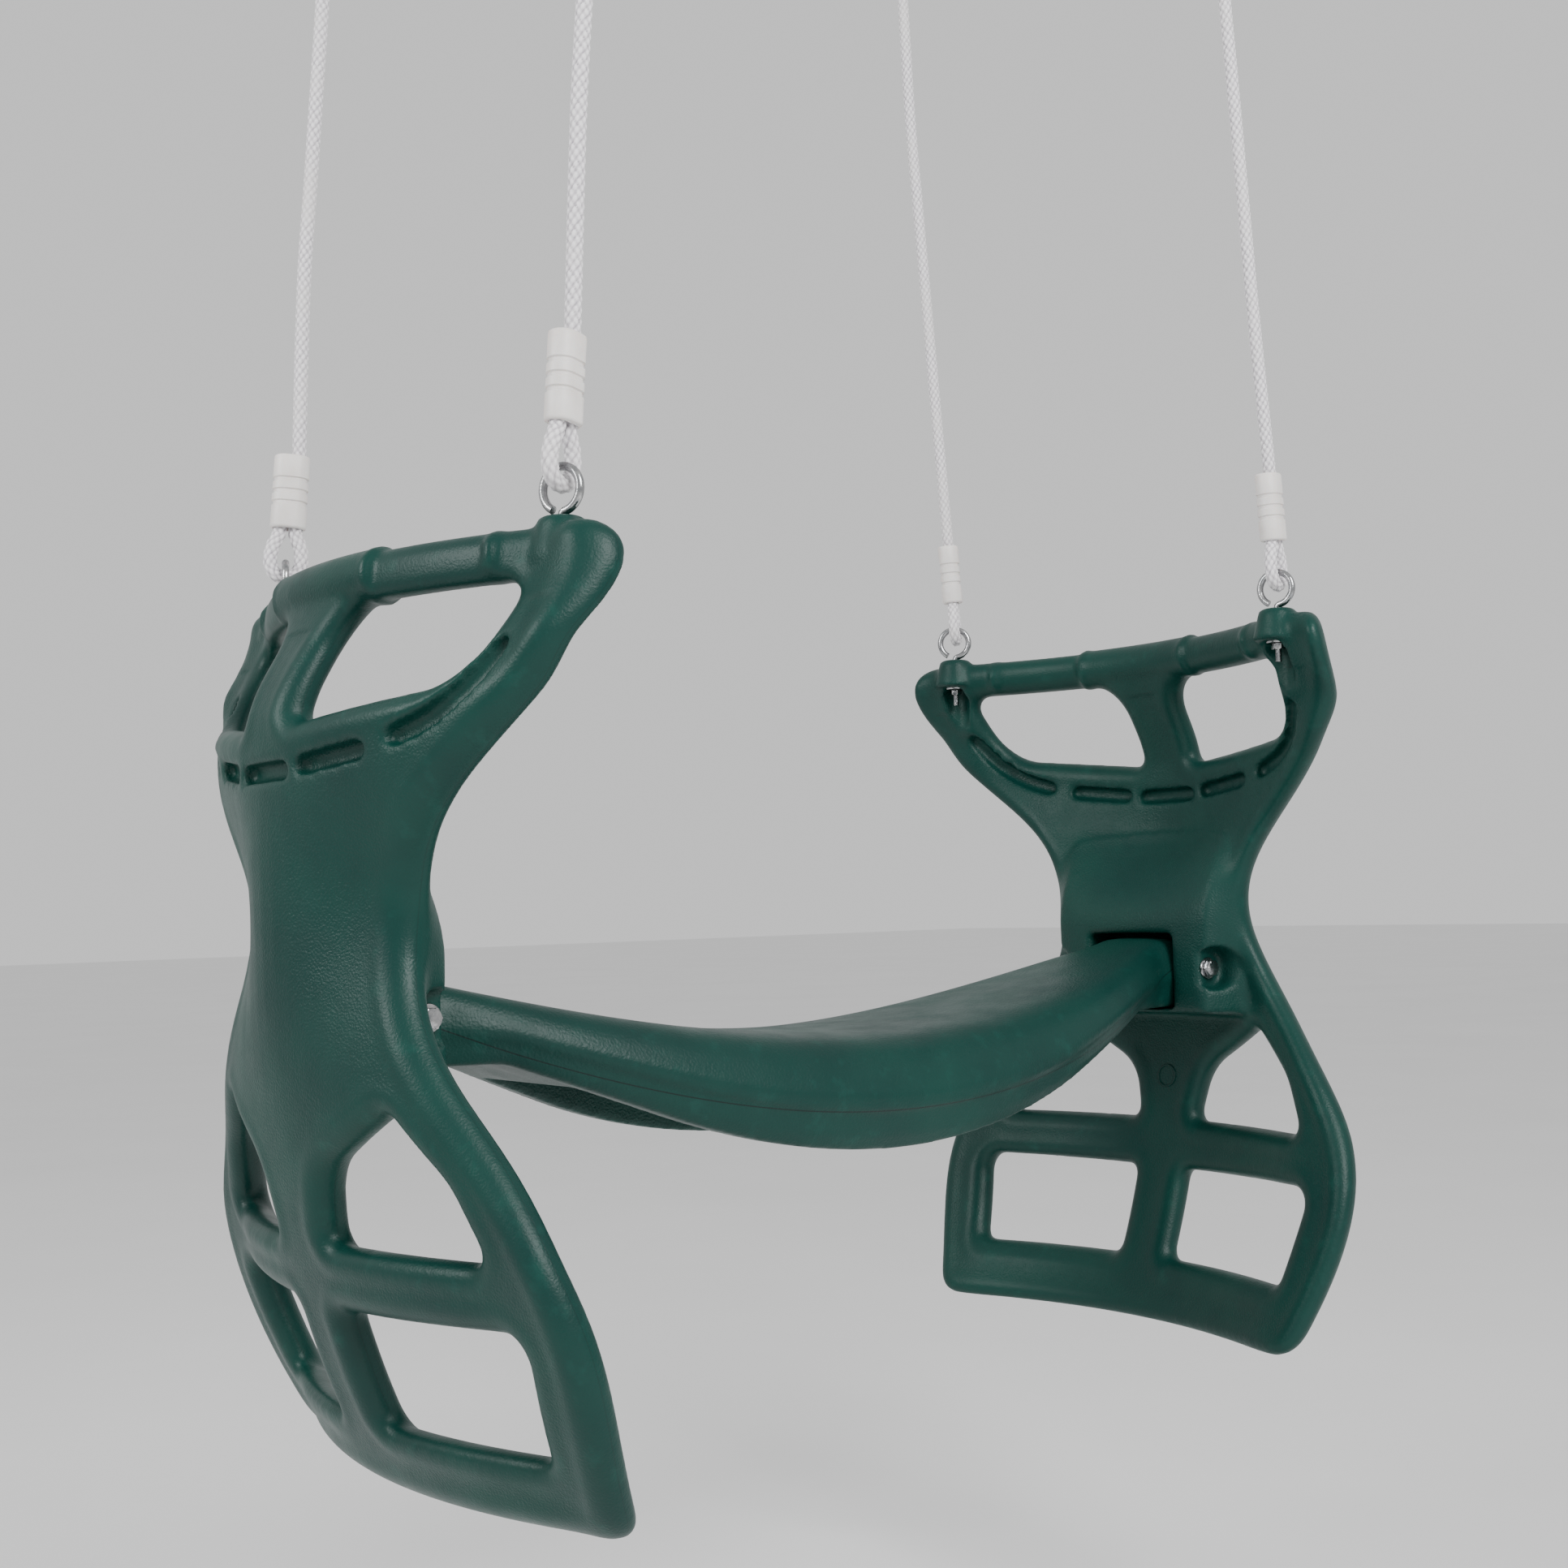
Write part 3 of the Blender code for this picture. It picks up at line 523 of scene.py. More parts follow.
def braided_white():
    finish = Finish("rope_white_braid")
    # The lower a point lies in the braid, the more painted shade it gets.
    crease_shade_mix = finish.ramp(finish.attribute("relief"), 0.0, 1.0, 0.0, RELIEF * 0.8)
    colour = finish.blend(crease_shade_mix, ROPE_CREASE_SHADE, ROPE_CROWN)
    soiled = finish.group(CLOUDS, "Mask", Scale=14.0, From=0.50, To=0.85)
    finish.feed(finish.blend(soiled, colour, ROPE_SOIL), "Base Color")
    finish.shader.inputs["Sheen Weight"].default_value = 0.25
    gloss = finish.group(CLOUDS, "Mask", Scale=300.0, From=0.3, To=0.7)
    finish.feed(finish.ramp(gloss, 0.48, 0.72), "Roughness")
    finish.bump(finish.group(CLOUDS, "Mask", Scale=2600.0, From=0.3, To=0.7), 0.00012)
    return finish.material


def sleeve_plastic():
    finish = Finish("sleeve_white_plastic")
    patches = finish.group(CLOUDS, "Mask", Scale=45.0, From=0.35, To=0.7)
    finish.feed(finish.blend(patches, SLEEVE_PALE, SLEEVE_AGED), "Base Color")
    gloss = finish.group(CLOUDS, "Mask", Scale=160.0, From=0.3, To=0.7)
    finish.feed(finish.ramp(gloss, 0.38, 0.52), "Roughness")
    finish.shader.inputs["Subsurface Weight"].default_value = 0.08
    finish.bump(finish.group(PEBBLES, "Height", Scale=1400.0), 0.00008)
    return finish.material


rope_white = braided_white()
sleeve_white = sleeve_plastic()
print("materials:", rope_white.name, sleeve_white.name)

# %% [markdown]
# ## Braid
# A braid is two families of strands that wind opposite ways and pass over and under each other.
# Numbering the strands of both families by a and b turns the surface into diamonds. On every other
# diamond one family is on top, and its strand is a rounded ridge that dips where it goes under.

# %% Make the ropes and their sleeves
STRANDS = 6
STRAND_PITCH = 0.0072   # run of the rope in which one strand takes its neighbour's place
RING_STEP = 0.0011      # distance between the mesh's rings along the rope
ROPE_SIDES = 32
CORE_R = ROPE_R - 0.0009
SLEEVE_WIDE = 0.0132    # half the width and half the depth of a sleeve
SLEEVE_DEEP = 0.0096
SLEEVE_END = [(0.0, 0.0012), (0.0007, 0.0003), (0.0020, 0.0)]   # how its end is rounded off
GROOVE_STEP = 0.0090
GROOVE = [(-0.0019, 0.0), (-0.0011, 0.0011), (0.0011, 0.0011), (0.0019, 0.0)]
BORE_ROOM = 0.0004


def braid_relief(around, run):
    """Height of the braid above its core at a turn round the rope and a run along it."""
    a = STRANDS * around + run / STRAND_PITCH
    b = STRANDS * around - run / STRAND_PITCH
    on_top, below = (a % 1.0, b % 1.0) if (math.floor(a) + math.floor(b)) % 2 == 0 else (b % 1.0, a % 1.0)
    ridge = math.sin(math.pi * on_top) ** 0.7
    return RELIEF * ridge * (0.45 + 0.55 * math.sin(math.pi * below))


def oval(turn, half_wide, half_deep):
    """Corner of an oval made of two half circles and two straights."""
    straight = (half_wide - half_deep) * (1.0 if math.cos(turn) > 0.0 else -1.0)
    return straight + half_deep * math.cos(turn), half_deep * math.sin(turn)


def sleeve_levels():
    """The sleeve's outside from end to end with three grooves, then its bore on the way back."""
    cuts = list(SLEEVE_END)
    for k in (-1, 0, 1):
        cuts += [(SLEEVE_L / 2 + GROOVE_STEP * k + offset, cut) for offset, cut in GROOVE]
    cuts += [(SLEEVE_L - run, cut) for run, cut in reversed(SLEEVE_END)]
    levels = [(run, SLEEVE_WIDE - cut, SLEEVE_DEEP - cut) for run, cut in cuts]
    bore = (TAIL_OFFSET + ROPE_R + BORE_ROOM, ROPE_R + BORE_ROOM)
    return levels + [(SLEEVE_L, *bore), (0.0, *bore), levels[0]]


def axes_at(start, wide, rise):
    """Matrix whose first axis is wide and whose third runs along the rope."""
    matrix = Matrix((wide, rise.cross(wide), rise)).transposed().to_4x4()
    matrix.translation = start
    return matrix


def add_sleeve(name, start, wide, rise, body):
    bm = bmesh.new()
    lofted(bm, sleeve_levels(), oval, axes_at(start, wide, rise), 48, closed=True)
    sleeve = finished(name + "_moulded", bm, sleeve_white, 50.0)
    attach(sleeve, body)
    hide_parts(name)
    return sleeve


def add_rope(tag, low, top, heading, body):
    rise = (top - low).normalized()
    wide = across_line(Vector((math.cos(heading), math.sin(heading), 0.0)), rise)
    far = across_line(Vector((1.0, 0.0, 0.0)), rise)
    route = loop_round(low, rise, wide, LOOP_R, EYE_NECK)[::-1]
    route += [low.lerp(top, part) for part in (0.30, 0.42, 0.58, 0.70)]
    route += loop_round(top, -rise, far, HANGER_LOOP_R, HANGER_NECK)
    path = evenly(smooth_line(route), RING_STEP)
    bm = bmesh.new()
    length = rolled_tube(bm, path, CORE_R, ROPE_SIDES, braid_relief)
    rope = finished("rope_" + tag + "_braid", bm, rope_white, 180.0)
    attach(rope, body)
    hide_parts("rope_" + tag)
    lower = add_sleeve("lower_sleeve_" + tag, low + rise * SLEEVE_RISE, wide, rise, body)
    upper = add_sleeve("upper_sleeve_" + tag, top - rise * (SLEEVE_RISE + SLEEVE_L), far, rise, body)
    print("rope", tag, round(length, 3), "m")


CORNERS = [("left_near", -1, -1, 20.0), ("left_far", -1, 1, -25.0),
           ("right_near", 1, -1, 15.0), ("right_far", 1, 1, 40.0)]
RIGHT_SLACK = 0.0015    # the right loops hang this far outside their eyes

for tag, side_x, side_y, degrees in CORNERS:
    slack = RIGHT_SLACK if side_x > 0 else 0.0
    low_end = Vector((side_x * EYE_X + slack, side_y * EYE_Y, LOWER_PIVOT_Z))
    top_end = Vector((side_x * HANGER_X, side_y * EYE_Y, UPPER_PIVOT_Z))
    ropes_body = "right_ropes" if side_x > 0 else "left_ropes"
    add_rope(tag, low_end, top_end, math.radians(degrees), ropes_body)

# %% [markdown]
# ## Outlines of an end panel
# A panel is drawn flat first, as (y, height) points: the hourglass outline and its six windows.
# Bezier runs give the slow curves, and the windows are polygons whose corners become arcs.

# %% Draw the outline and the windows
WALL = 0.014            # half the thickness of a panel
TOP_H = 0.602           # top edge of the handle bar
LONGEST_EDGE = 0.010    # no longer stretch of an outline goes without a point


def bezier(start, pull_start, pull_end, end, count):
    """Points along a cubic curve, without its last one."""
    points = []
    for i in range(count):
        t = i / count
        weights = ((1 - t) ** 3, 3 * t * (1 - t) ** 2, 3 * t * t * (1 - t), t ** 3)
        corners = (start, pull_start, pull_end, end)
        points.append(tuple(sum(w * c[axis] for w, c in zip(weights, corners)) for axis in (0, 1)))
    return points


def panel_outline():
    half = bezier((0.176, 0.0), (0.193, 0.0), (0.201, 0.007), (0.206, 0.022), 8)
    half += bezier((0.206, 0.022), (0.216, 0.050), (0.228, 0.085), (0.228, 0.118), 12)
    half += bezier((0.228, 0.118), (0.228, 0.215), (0.105, 0.278), (0.105, 0.360), 28)
    half += bezier((0.105, 0.360), (0.106, 0.450), (0.230, 0.474), (0.237, 0.570), 28)
    half += bezier((0.237, 0.570), (0.238, 0.590), (0.230, TOP_H), (0.212, TOP_H), 8)
    half.append((0.212, TOP_H))
    return half + [(-y, h) for y, h in reversed(half)]


def rounded(corners, arc_steps=7):
    """Closed outline through (y, height, radius) corners, each corner turned into an arc."""
    points = []
    for i, (y, h, radius) in enumerate(corners):
        here = Vector((y, h))
        back = (Vector(corners[i - 1][:2]) - here).normalized()
        ahead = (Vector(corners[(i + 1) % len(corners)][:2]) - here).normalized()
        half = back.angle(ahead) / 2
        centre = here + (back + ahead).normalized() * (radius / math.sin(half))
        first = here + back * (radius / math.tan(half)) - centre
        sweep = first.angle_signed(here + ahead * (radius / math.tan(half)) - centre)
        for k in range(arc_steps + 1):
            spoke = first.copy()
            spoke.rotate(Matrix.Rotation(-sweep * k / arc_steps, 2))
            points.append(tuple(centre + spoke))
    return points


HAND_WINDOW = [(0.029, 0.493, 0.009), (0.168, 0.508, 0.040), (0.180, 0.569, 0.014), (0.031, 0.569, 0.030)]
FOOT_WINDOW = [(0.027, 0.049, 0.010), (0.169, 0.049, 0.010), (0.185, 0.127, 0.014), (0.027, 0.125, 0.009)]
KNEE_WINDOW = [(0.031, 0.168, 0.009), (0.169, 0.168, 0.008), (0.148, 0.213, 0.060),
               (0.107, 0.254, 0.008), (0.041, 0.214, 0.045)]


def spread(points, longest):
    """Add points on the straight stretches of a closed outline."""
    result = []
    for here, after in zip(points, points[1:] + points[:1]):
        here, after = Vector(here), Vector(after)
        count = max(1, math.ceil((after - here).length / longest))
        result += [tuple(here.lerp(after, k / count)) for k in range(count)]
    return result


def panel_rings():
    """The outline and the six windows, as closed lists of points."""
    rings = [spread(panel_outline(), LONGEST_EDGE)]
    for corners in (HAND_WINDOW, FOOT_WINDOW, KNEE_WINDOW):
        ring = spread(rounded(corners), LONGEST_EDGE)
        rings += [ring, [(-y, h) for y, h in reversed(ring)]]
    return rings


print("outline and windows:", [len(ring) for ring in panel_rings()], "points")


# %% [markdown]
# ## Bending the panel
# The flat panel is then bent: it bulges away from the seat at mid height, its sides curl in round
# the riders' knees, and the inner face swells into a socket for the seat. One formula gives the
# middle of the wall, so cutters and details can follow the same surface.

# %% Shape of the bent wall
PANEL_BULGE_X = 0.446   # middle of the wall at its fullest point
SOCKET_FACE_X = 0.372
SOCKET_FLOOR_X = 0.410
SOCKET_LOW_H = 0.266


def wall_x(y, h):
    """Distance of the middle of the panel wall from the middle of the glider."""
    foot = 0.088 * max(0.0, (0.46 - h) / 0.46) ** 3
    head = 0.040 * smoothstep((h - 0.490) / 0.100)
    upper = smoothstep((h - 0.16) / 0.17)
    bow = (1.25 + 0.27 * upper) * y * y
    bow *= 1.0 - 0.30 * (1.0 - upper) * smoothstep((abs(y) - 0.15) / 0.08)
    waist = 0.024 * math.exp(-((h - 0.372) / 0.070) ** 2) * smoothstep(abs(y) / 0.105)
    horn = 0.020 * smoothstep((abs(y) - 0.180) / 0.045) * smoothstep((h - 0.49) / 0.05)
    return PANEL_BULGE_X - foot - head - bow - waist + horn


def socket_amount(y, h):
    """How far the inner face has swelled into the seat socket, from 0 to 1."""
    rise = smoothstep((h - SOCKET_LOW_H + 0.002) / 0.004) * smoothstep((0.440 - h) / 0.095)
    return rise * smoothstep((0.106 - abs(y)) / 0.026)


def bend(bm):
    for vert in bm.verts:
        offset, y, h = vert.co
        x = wall_x(y, h) + offset
        if offset < -WALL / 2:
            x += socket_amount(y, h) * min(0.0, SOCKET_FACE_X - x)
        vert.co = (x, y, level(h))


print("wall at seat height:", round(wall_x(0.0, 0.307), 3), "m from the middle of the glider")

# %% [markdown]
# ## Body of the panel
# The outline is filled, and inset ring by ring while the rings rise on a quarter circle, which
# rolls the edge over. A mirror adds the other face. Cuts across the flat mesh give it the corners
# that it needs to bend.

# %% Build the rounded body
EDGE_STEPS = 5
CUT_STEP = 0.014
SOCKET_STEP = 0.002     # two close cuts keep the socket's lower edge sharp


def rounded_face():
    bm = bmesh.new()
    for ring in panel_rings():
        verts = [bm.verts.new((0.0, y, h)) for y, h in ring]
        for a, b in zip(verts, verts[1:] + verts[:1]):
            bm.edges.new((a, b))
    bmesh.ops.triangle_fill(bm, use_beauty=True, edges=bm.edges[:], normal=(1.0, 0.0, 0.0))
    flat = bm.faces[:]
    gone = 0.0
    for k in range(1, EDGE_STEPS + 1):
        turn = math.pi / 2 * k / EDGE_STEPS
        inset = WALL * (1.0 - math.cos(turn))
        bmesh.ops.inset_region(bm, faces=flat, use_boundary=True, use_even_offset=True,
                               thickness=inset - gone)
        gone = inset
        for vert in {v for face in flat for v in face.verts}:
            vert.co.x = WALL * math.sin(turn)
    return bm


def cut_across(bm):
    """Slice the whole mesh at even steps of y and height."""
    rows = [(Vector((0, y * CUT_STEP, 0)), Vector((0, 1, 0))) for y in range(-16, 17)]
    rows += [(Vector((0, 0, h * CUT_STEP)), Vector((0, 0, 1))) for h in range(1, 43)]
    for step in (-SOCKET_STEP, SOCKET_STEP):
        rows.append((Vector((0, 0, SOCKET_LOW_H + step)), Vector((0, 0, 1))))
    for place, normal in rows:
        bmesh.ops.bisect_plane(bm, geom=bm.verts[:] + bm.edges[:] + bm.faces[:], dist=0.0003,
                               plane_co=place, plane_no=normal)


# %% [markdown]
# ## Bars, bosses, sockets and slots
# The handle bar has a thicker middle with a collar at each end, and each eye bolt stands on a boss.
# Tools cut the nut recesses, the seat's socket, the recesses for the long seat bolts and the row of
# slots. All are closed shapes, joined or cut with exact Booleans.

# %% Shapes that are added to the panel
BAR_H = 0.586
BOSS_LOW_H = 0.580
BOSS_TOP_H = 0.607
SEAT_BOLT_X = 0.384
SEAT_BOLT_H = 0.307
LUG_Y = 0.0775
TONGUE_W = 0.046
BAR_OUT = 0.001         # the bar stands this much nearer the outer face
MIDDLE_BAR = (0.0615, 0.0182)       # where it ends, and its radius
COLLAR = (0.0590, 0.0640, 0.0192)   # from, to, radius
GRIP_END = (0.1500, 0.1560, 0.0166)
BOSS_RADII = (0.021, 0.0145)
NUT_RECESS_R = 0.0125
NUT_RECESS_LOW_H = 0.540
BOLT_RECESS_R = 0.0185
BOLT_RECESS_Y = 0.135


def bar_point(y):
    return Vector((wall_x(y, BAR_H) + BAR_OUT, y, level(BAR_H)))


def bar_stretch(name, start, end, radius):
    bm = bmesh.new()
    steps = max(2, round(abs(end - start) / 0.004))
    path = [bar_point(start + (end - start) * k / steps) for k in range(steps + 1)]
    rolled_tube(bm, path, radius, 28)
    return finished(name, bm, None)


def rod(name, start, end, radius, radius_end=None, sides=32):
    """Round bar or cone between two points."""
    start, end = Vector(start), Vector(end)
    turn = (end - start).to_track_quat("Z", "Y").to_matrix().to_4x4()
    bm = bmesh.new()
    bmesh.ops.create_cone(bm, cap_ends=True, segments=sides, radius1=radius,
                          radius2=radius if radius_end is None else radius_end,
                          depth=(end - start).length, matrix=Matrix.Translation((start + end) / 2) @ turn)
    return finished(name, bm, None)


def added_shapes():
    reach, radius = MIDDLE_BAR
    shapes = [bar_stretch("middle_bar", -reach, reach, radius)]
    for side in (-1, 1):
        for name, (start, end, ring_r) in (("collar", COLLAR), ("grip_end", GRIP_END)):
            shapes.append(bar_stretch(name, side * start, side * end, ring_r))
        place = (EYE_X, side * EYE_Y)
        shapes.append(rod("boss", (*place, level(BOSS_LOW_H)), (*place, level(BOSS_TOP_H)), *BOSS_RADII))
    return shapes


# %% [markdown]
# The slots are the awkward cutters: each follows a curved line and the bent wall. Its outline is
# drawn flat, made a thick slab, and then laid against the wall's formula point by point.

# %% Shapes that are cut out of the panel
SLOT_DEPTH = 0.0115
SLOT_WIDTH = 0.0125
SOCKET_HS = (0.271, 0.338)  # heights of the socket's floor and roof
SOCKET_ROOM = 0.001
SOCKET_REACH = 0.05         # the cutter stands out of the face by this much
SLOTS = [[(-0.026, 0.464), (0.026, 0.464)],
         [(0.046, 0.466), (0.096, 0.472)],
         [(0.124, 0.478), (0.150, 0.488), (0.172, 0.505), (0.186, 0.527)]]


def slot_outline(line):
    """Closed outline round a line of points, half a slot's width away, with round ends."""
    spine = [Vector((y, h, 0.0)) for y, h in line]
    spine = [p.to_2d() for p in evenly(smooth_line(spine), 0.004)]
    near_side, far_side = [], []
    for i, point in enumerate(spine):
        along = (spine[min(i + 1, len(spine) - 1)] - spine[max(i - 1, 0)]).normalized()
        square = Vector((-along.y, along.x)) * SLOT_WIDTH / 2
        near_side.append(point - square)
        far_side.append(point + square)
    ends = []
    for point, other in ((spine[-1], spine[-2]), (spine[0], spine[1])):
        ahead = (point - other).normalized() * SLOT_WIDTH / 2
        turns = [math.radians(angle) for angle in (-60, -30, 0, 30, 60)]
        ends.append([point + Matrix.Rotation(turn, 2) @ ahead for turn in turns])
    return near_side + ends[0] + far_side[::-1] + ends[1]


def slot_tools():
    bm = bmesh.new()
    for line in SLOTS + [[(-y, h) for y, h in reversed(line)] for line in SLOTS[1:]]:
        for side in (-1, 1):
            ring = [bm.verts.new((-SLOT_DEPTH, *corner)) for corner in slot_outline(line)]
            floor = bm.faces.new(ring)
            grown = bmesh.ops.extrude_face_region(bm, geom=[floor])["geom"]
            for vert in grown:
                if isinstance(vert, bmesh.types.BMVert):
                    vert.co.x = SLOT_DEPTH
                    ring.append(vert)
            for vert in ring:
                depth, y, h = vert.co
                vert.co = (wall_x(y, h) + side * (WALL + depth), y, level(h))
    bmesh.ops.triangulate(bm, faces=bm.faces[:])
    bmesh.ops.recalc_face_normals(bm, faces=bm.faces)
    return finished("slots", bm, None)


def cut_shapes():
    half_w = TONGUE_W + SOCKET_ROOM
    low = Vector((SOCKET_FACE_X - SOCKET_REACH, -half_w, level(SOCKET_HS[0])))
    high = Vector((SOCKET_FLOOR_X, half_w, level(SOCKET_HS[1])))
    size = Matrix.Diagonal((*(high - low), 1.0))
    bm = bmesh.new()
    bmesh.ops.create_cube(bm, size=1.0, matrix=Matrix.Translation((low + high) / 2) @ size)
    shapes = [finished("socket", bm, None), slot_tools()]
    for side in (-1, 1):
        place = (EYE_X, side * EYE_Y)
        shapes.append(rod("nut_recess", (*place, level(NUT_RECESS_LOW_H)), (*place, level(BOSS_LOW_H)),
                          NUT_RECESS_R))
        start = (SEAT_BOLT_X, side * LUG_Y, level(SEAT_BOLT_H))
        end = (start[0], side * BOLT_RECESS_Y, start[2])
        shapes.append(rod("bolt_recess", start, end, BOLT_RECESS_R))
    return shapes


# %% [markdown]
# ## One skin
# Blow-moulded plastic has no crisp inside corners. A voxel remesh turns the joined body into one
# even skin, and a few rounds of smoothing melt the places where bars and bosses meet the wall. The
# middle of the wall is then sunk a little, which leaves the rims standing proud.

# %% Join, cut and reskin
PANEL_VOXEL = 0.0026


def join_and_cut(obj, added, cut):
    """Join shapes on and cut others out, as exact Boolean modifiers."""
    for shapes, operation in ((added, "UNION"), (cut, "DIFFERENCE")):
        for shape in shapes:
            step = obj.modifiers.new(shape.name, "BOOLEAN")
            step.operation = operation
            step.solver = "EXACT"
            step.object = shape


def applied(obj, tools):
    """The mesh with its modifiers applied, as a bmesh. The object and its tools are removed."""
    bpy.context.view_layer.update()
    graph = bpy.context.evaluated_depsgraph_get()
    mesh = bpy.data.meshes.new_from_object(obj.evaluated_get(graph), depsgraph=graph)
    for done in [obj] + tools:
        bpy.data.objects.remove(done, do_unlink=True)
    bm = bmesh.new()
    bm.from_mesh(mesh)
    bpy.data.meshes.remove(mesh)
    return bm


def smoothed(bm, rounds):
    for _ in range(rounds):
        bmesh.ops.smooth_vert(bm, verts=bm.verts, factor=0.5,
                              use_axis_x=True, use_axis_y=True, use_axis_z=True)


def reskinned(obj, added, cut, voxel, rounds):
    """Join and cut with Booleans, remesh to one skin, smooth it, and return it as a bmesh."""
    join_and_cut(obj, added, cut)
    skin = obj.modifiers.new("skin", "REMESH")
    skin.mode = "VOXEL"
    skin.voxel_size = voxel
    bm = applied(obj, added + cut)
    smoothed(bm, rounds)
    return bm


def edge_tree():
    """Look-up of the nearest point on the outline or on a window."""
    points = [Vector((0.0, y, h)) for ring in panel_rings() for y, h in ring]
    tree = KDTree(len(points))
    for i, point in enumerate(points):
        tree.insert(point, i)
    tree.balance()
    return tree


WEB_DEPTH = 0.0014
RIM_WIDTH = 0.012       # the wall starts to sink this far from an edge
FACE_REACH = 0.0025     # a point this near a flat face belongs to it
BAR_CLEAR = 0.03        # the wall isn't sunk nearer the handle bar than this


def sink_web(bm):
    """Sink the wall between the rims, and note in a layer how near each point is to a rim."""
    tree = edge_tree()
    rim = bm.verts.layers.float.new("rim")
    seam = bm.verts.layers.float.new("seam")
    for vert in bm.verts:
        y, h = vert.co.y, vert.co.z - FEET_Z
        away = tree.find(Vector((0.0, y, h)))[2]
        offset = vert.co.x - wall_x(y, h)
        inner = smoothstep((away - RIM_WIDTH) / RIM_WIDTH)
        vert[rim] = 1.0 - inner
        vert[seam] = offset
        if abs(abs(offset) - WALL) < FACE_REACH and BAR_H - h > BAR_CLEAR:
            clear = 1.0 - (socket_amount(y, h) if offset < 0.0 else 0.0)
            vert.co.x -= math.copysign(WEB_DEPTH * inner * clear, offset)


# %% [markdown]
# A plain ring stands on the inner face, low on the middle line, where the mould has an insert. It
# is a thin round bead whose every point follows the bent wall, half sunk into it.

# %% Build both panels
RING_H = 0.207
MOULD_RING_R = 0.0095
BEAD_R = 0.0008
BEAD_PROUD = 0.0003     # the bead's middle lies this far outside the wall


def add_mould_ring(bm):
    path = []
    for k in range(49):
        turn = k * math.pi / 24
        y, h = MOULD_RING_R * math.cos(turn), RING_H + MOULD_RING_R * math.sin(turn)
        path.append(Vector((wall_x(y, h) - WALL + WEB_DEPTH - BEAD_PROUD, y, level(h))))
    rolled_tube(bm, path, BEAD_R, 10)


def build_panel():
    bm = rounded_face()
    bmesh.ops.mirror(bm, geom=bm.verts[:] + bm.edges[:] + bm.faces[:], axis="X", merge_dist=0.0001)
    cut_across(bm)
    bend(bm)
    bmesh.ops.recalc_face_normals(bm, faces=bm.faces)
    body = finished("panel_body", bm, None)
    bm = reskinned(body, added_shapes(), cut_shapes(), PANEL_VOXEL, 3)
    sink_web(bm)
    smoothed(bm, 1)
    add_mould_ring(bm)
    return bm


def add_panels():
    right = build_panel()
    left = right.copy()
    bmesh.ops.scale(left, vec=(-1.0, 1.0, 1.0), verts=left.verts)
    bmesh.ops.reverse_faces(left, faces=left.faces)
    for side, bm in (("right", right), ("left", left)):
        panel = finished("end_panel_" + side + "_moulded", bm, panel_green, 60.0)
        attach(panel, "glider")
        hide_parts("end_panel_" + side)
        print(panel.name, len(panel.data.polygons), "faces")


add_panels()

# %% [markdown]
# ## Seat
# The seat is a saddle: one cross-section drawn along a bar, then tapered, sagged and drawn out into
# a tongue at each end. The top is broad and grained, and the rails beside it are smooth and round.
# The rails carry pale patches that are partly wear and partly a painted highlight. Below them, a thin
# line of painted shade marks where the two halves of the mould met. The underside is hollow.

# %% Cross-section and shape of the seat
SEAT_W = 0.117
SEAT_END_X = 0.404
SEAT_TOP_H = 0.275
SEAT_LOW_H = 0.192
SEAT_CREST = [(0.0, 0.2755), (0.045, 0.275), (0.078, 0.273), (0.097, 0.267), (0.109, 0.253),
              (SEAT_W, 0.232)]
SEAT_SKIRT = [(0.1155, 0.222), (0.112, 0.2195), (0.107, 0.202), (0.101, 0.192)]
SEAT_HOLLOW = [(0.082, 0.16), (0.078, 0.226), (0.060, 0.236)]
TONGUE_X = 0.376        # from here out the top is level
HOLLOW_X = 0.27         # the hollow ends here
BOWL_X = 0.21           # from here out the underside runs straight


def seat_top(x):
    return SEAT_TOP_H + 0.058 * (abs(x) / 0.375) ** 1.8


def seat_low(x):
    """Underside: a shallow bowl that runs out straight towards the tongues."""
    near = min(abs(x), BOWL_X)
    return min(0.2725, SEAT_LOW_H + 0.0405 * (near / BOWL_X) ** 2 + 0.380 * (abs(x) - near))


def seat_half_width(x):
    reach = min(1.0, abs(x) / 0.360)
    return TONGUE_W + (SEAT_W - TONGUE_W) * (1.0 - reach ** 2.6)


def shape_along_seat(bm):
    for vert in bm.verts:
        x, y, h = vert.co
        part = (h - SEAT_LOW_H) / (SEAT_TOP_H - SEAT_LOW_H)
        top = min(seat_top(x), seat_top(TONGUE_X))
        vert.co.y = y * seat_half_width(x) / SEAT_W
        vert.co.z = level(seat_low(x) + part * (top - seat_low(x)))


def extruded_bar(outline, stations):
    """Solid bar along X with one cross-section, cut at each station."""
    bm = bmesh.new()
    ring = [bm.verts.new((stations[0], y, h)) for y, h in outline]
    edges = [bm.edges.new((a, b)) for a, b in zip(ring, ring[1:] + ring[:1])]
    for here, after in zip(stations, stations[1:]):
        grown = bmesh.ops.extrude_edge_only(bm, edges=edges)["geom"]
        moved = [item for item in grown if isinstance(item, bmesh.types.BMVert)]
        fresh = set(moved)
        edges = [item for item in grown if isinstance(item, bmesh.types.BMEdge)
                 and all(v in fresh for v in item.verts)]
        bmesh.ops.translate(bm, verts=moved, vec=(after - here, 0.0, 0.0))
    bmesh.ops.holes_fill(bm, edges=[e for e in bm.edges if e.is_boundary], sides=0)
    bmesh.ops.recalc_face_normals(bm, faces=bm.faces)
    return bm


# %% [markdown]
# The seat gets the same treatment as the panels: cut, remeshed to one skin and smoothed. Two layers
# then tell the material where the smooth rails are, and how far away the parting line is.

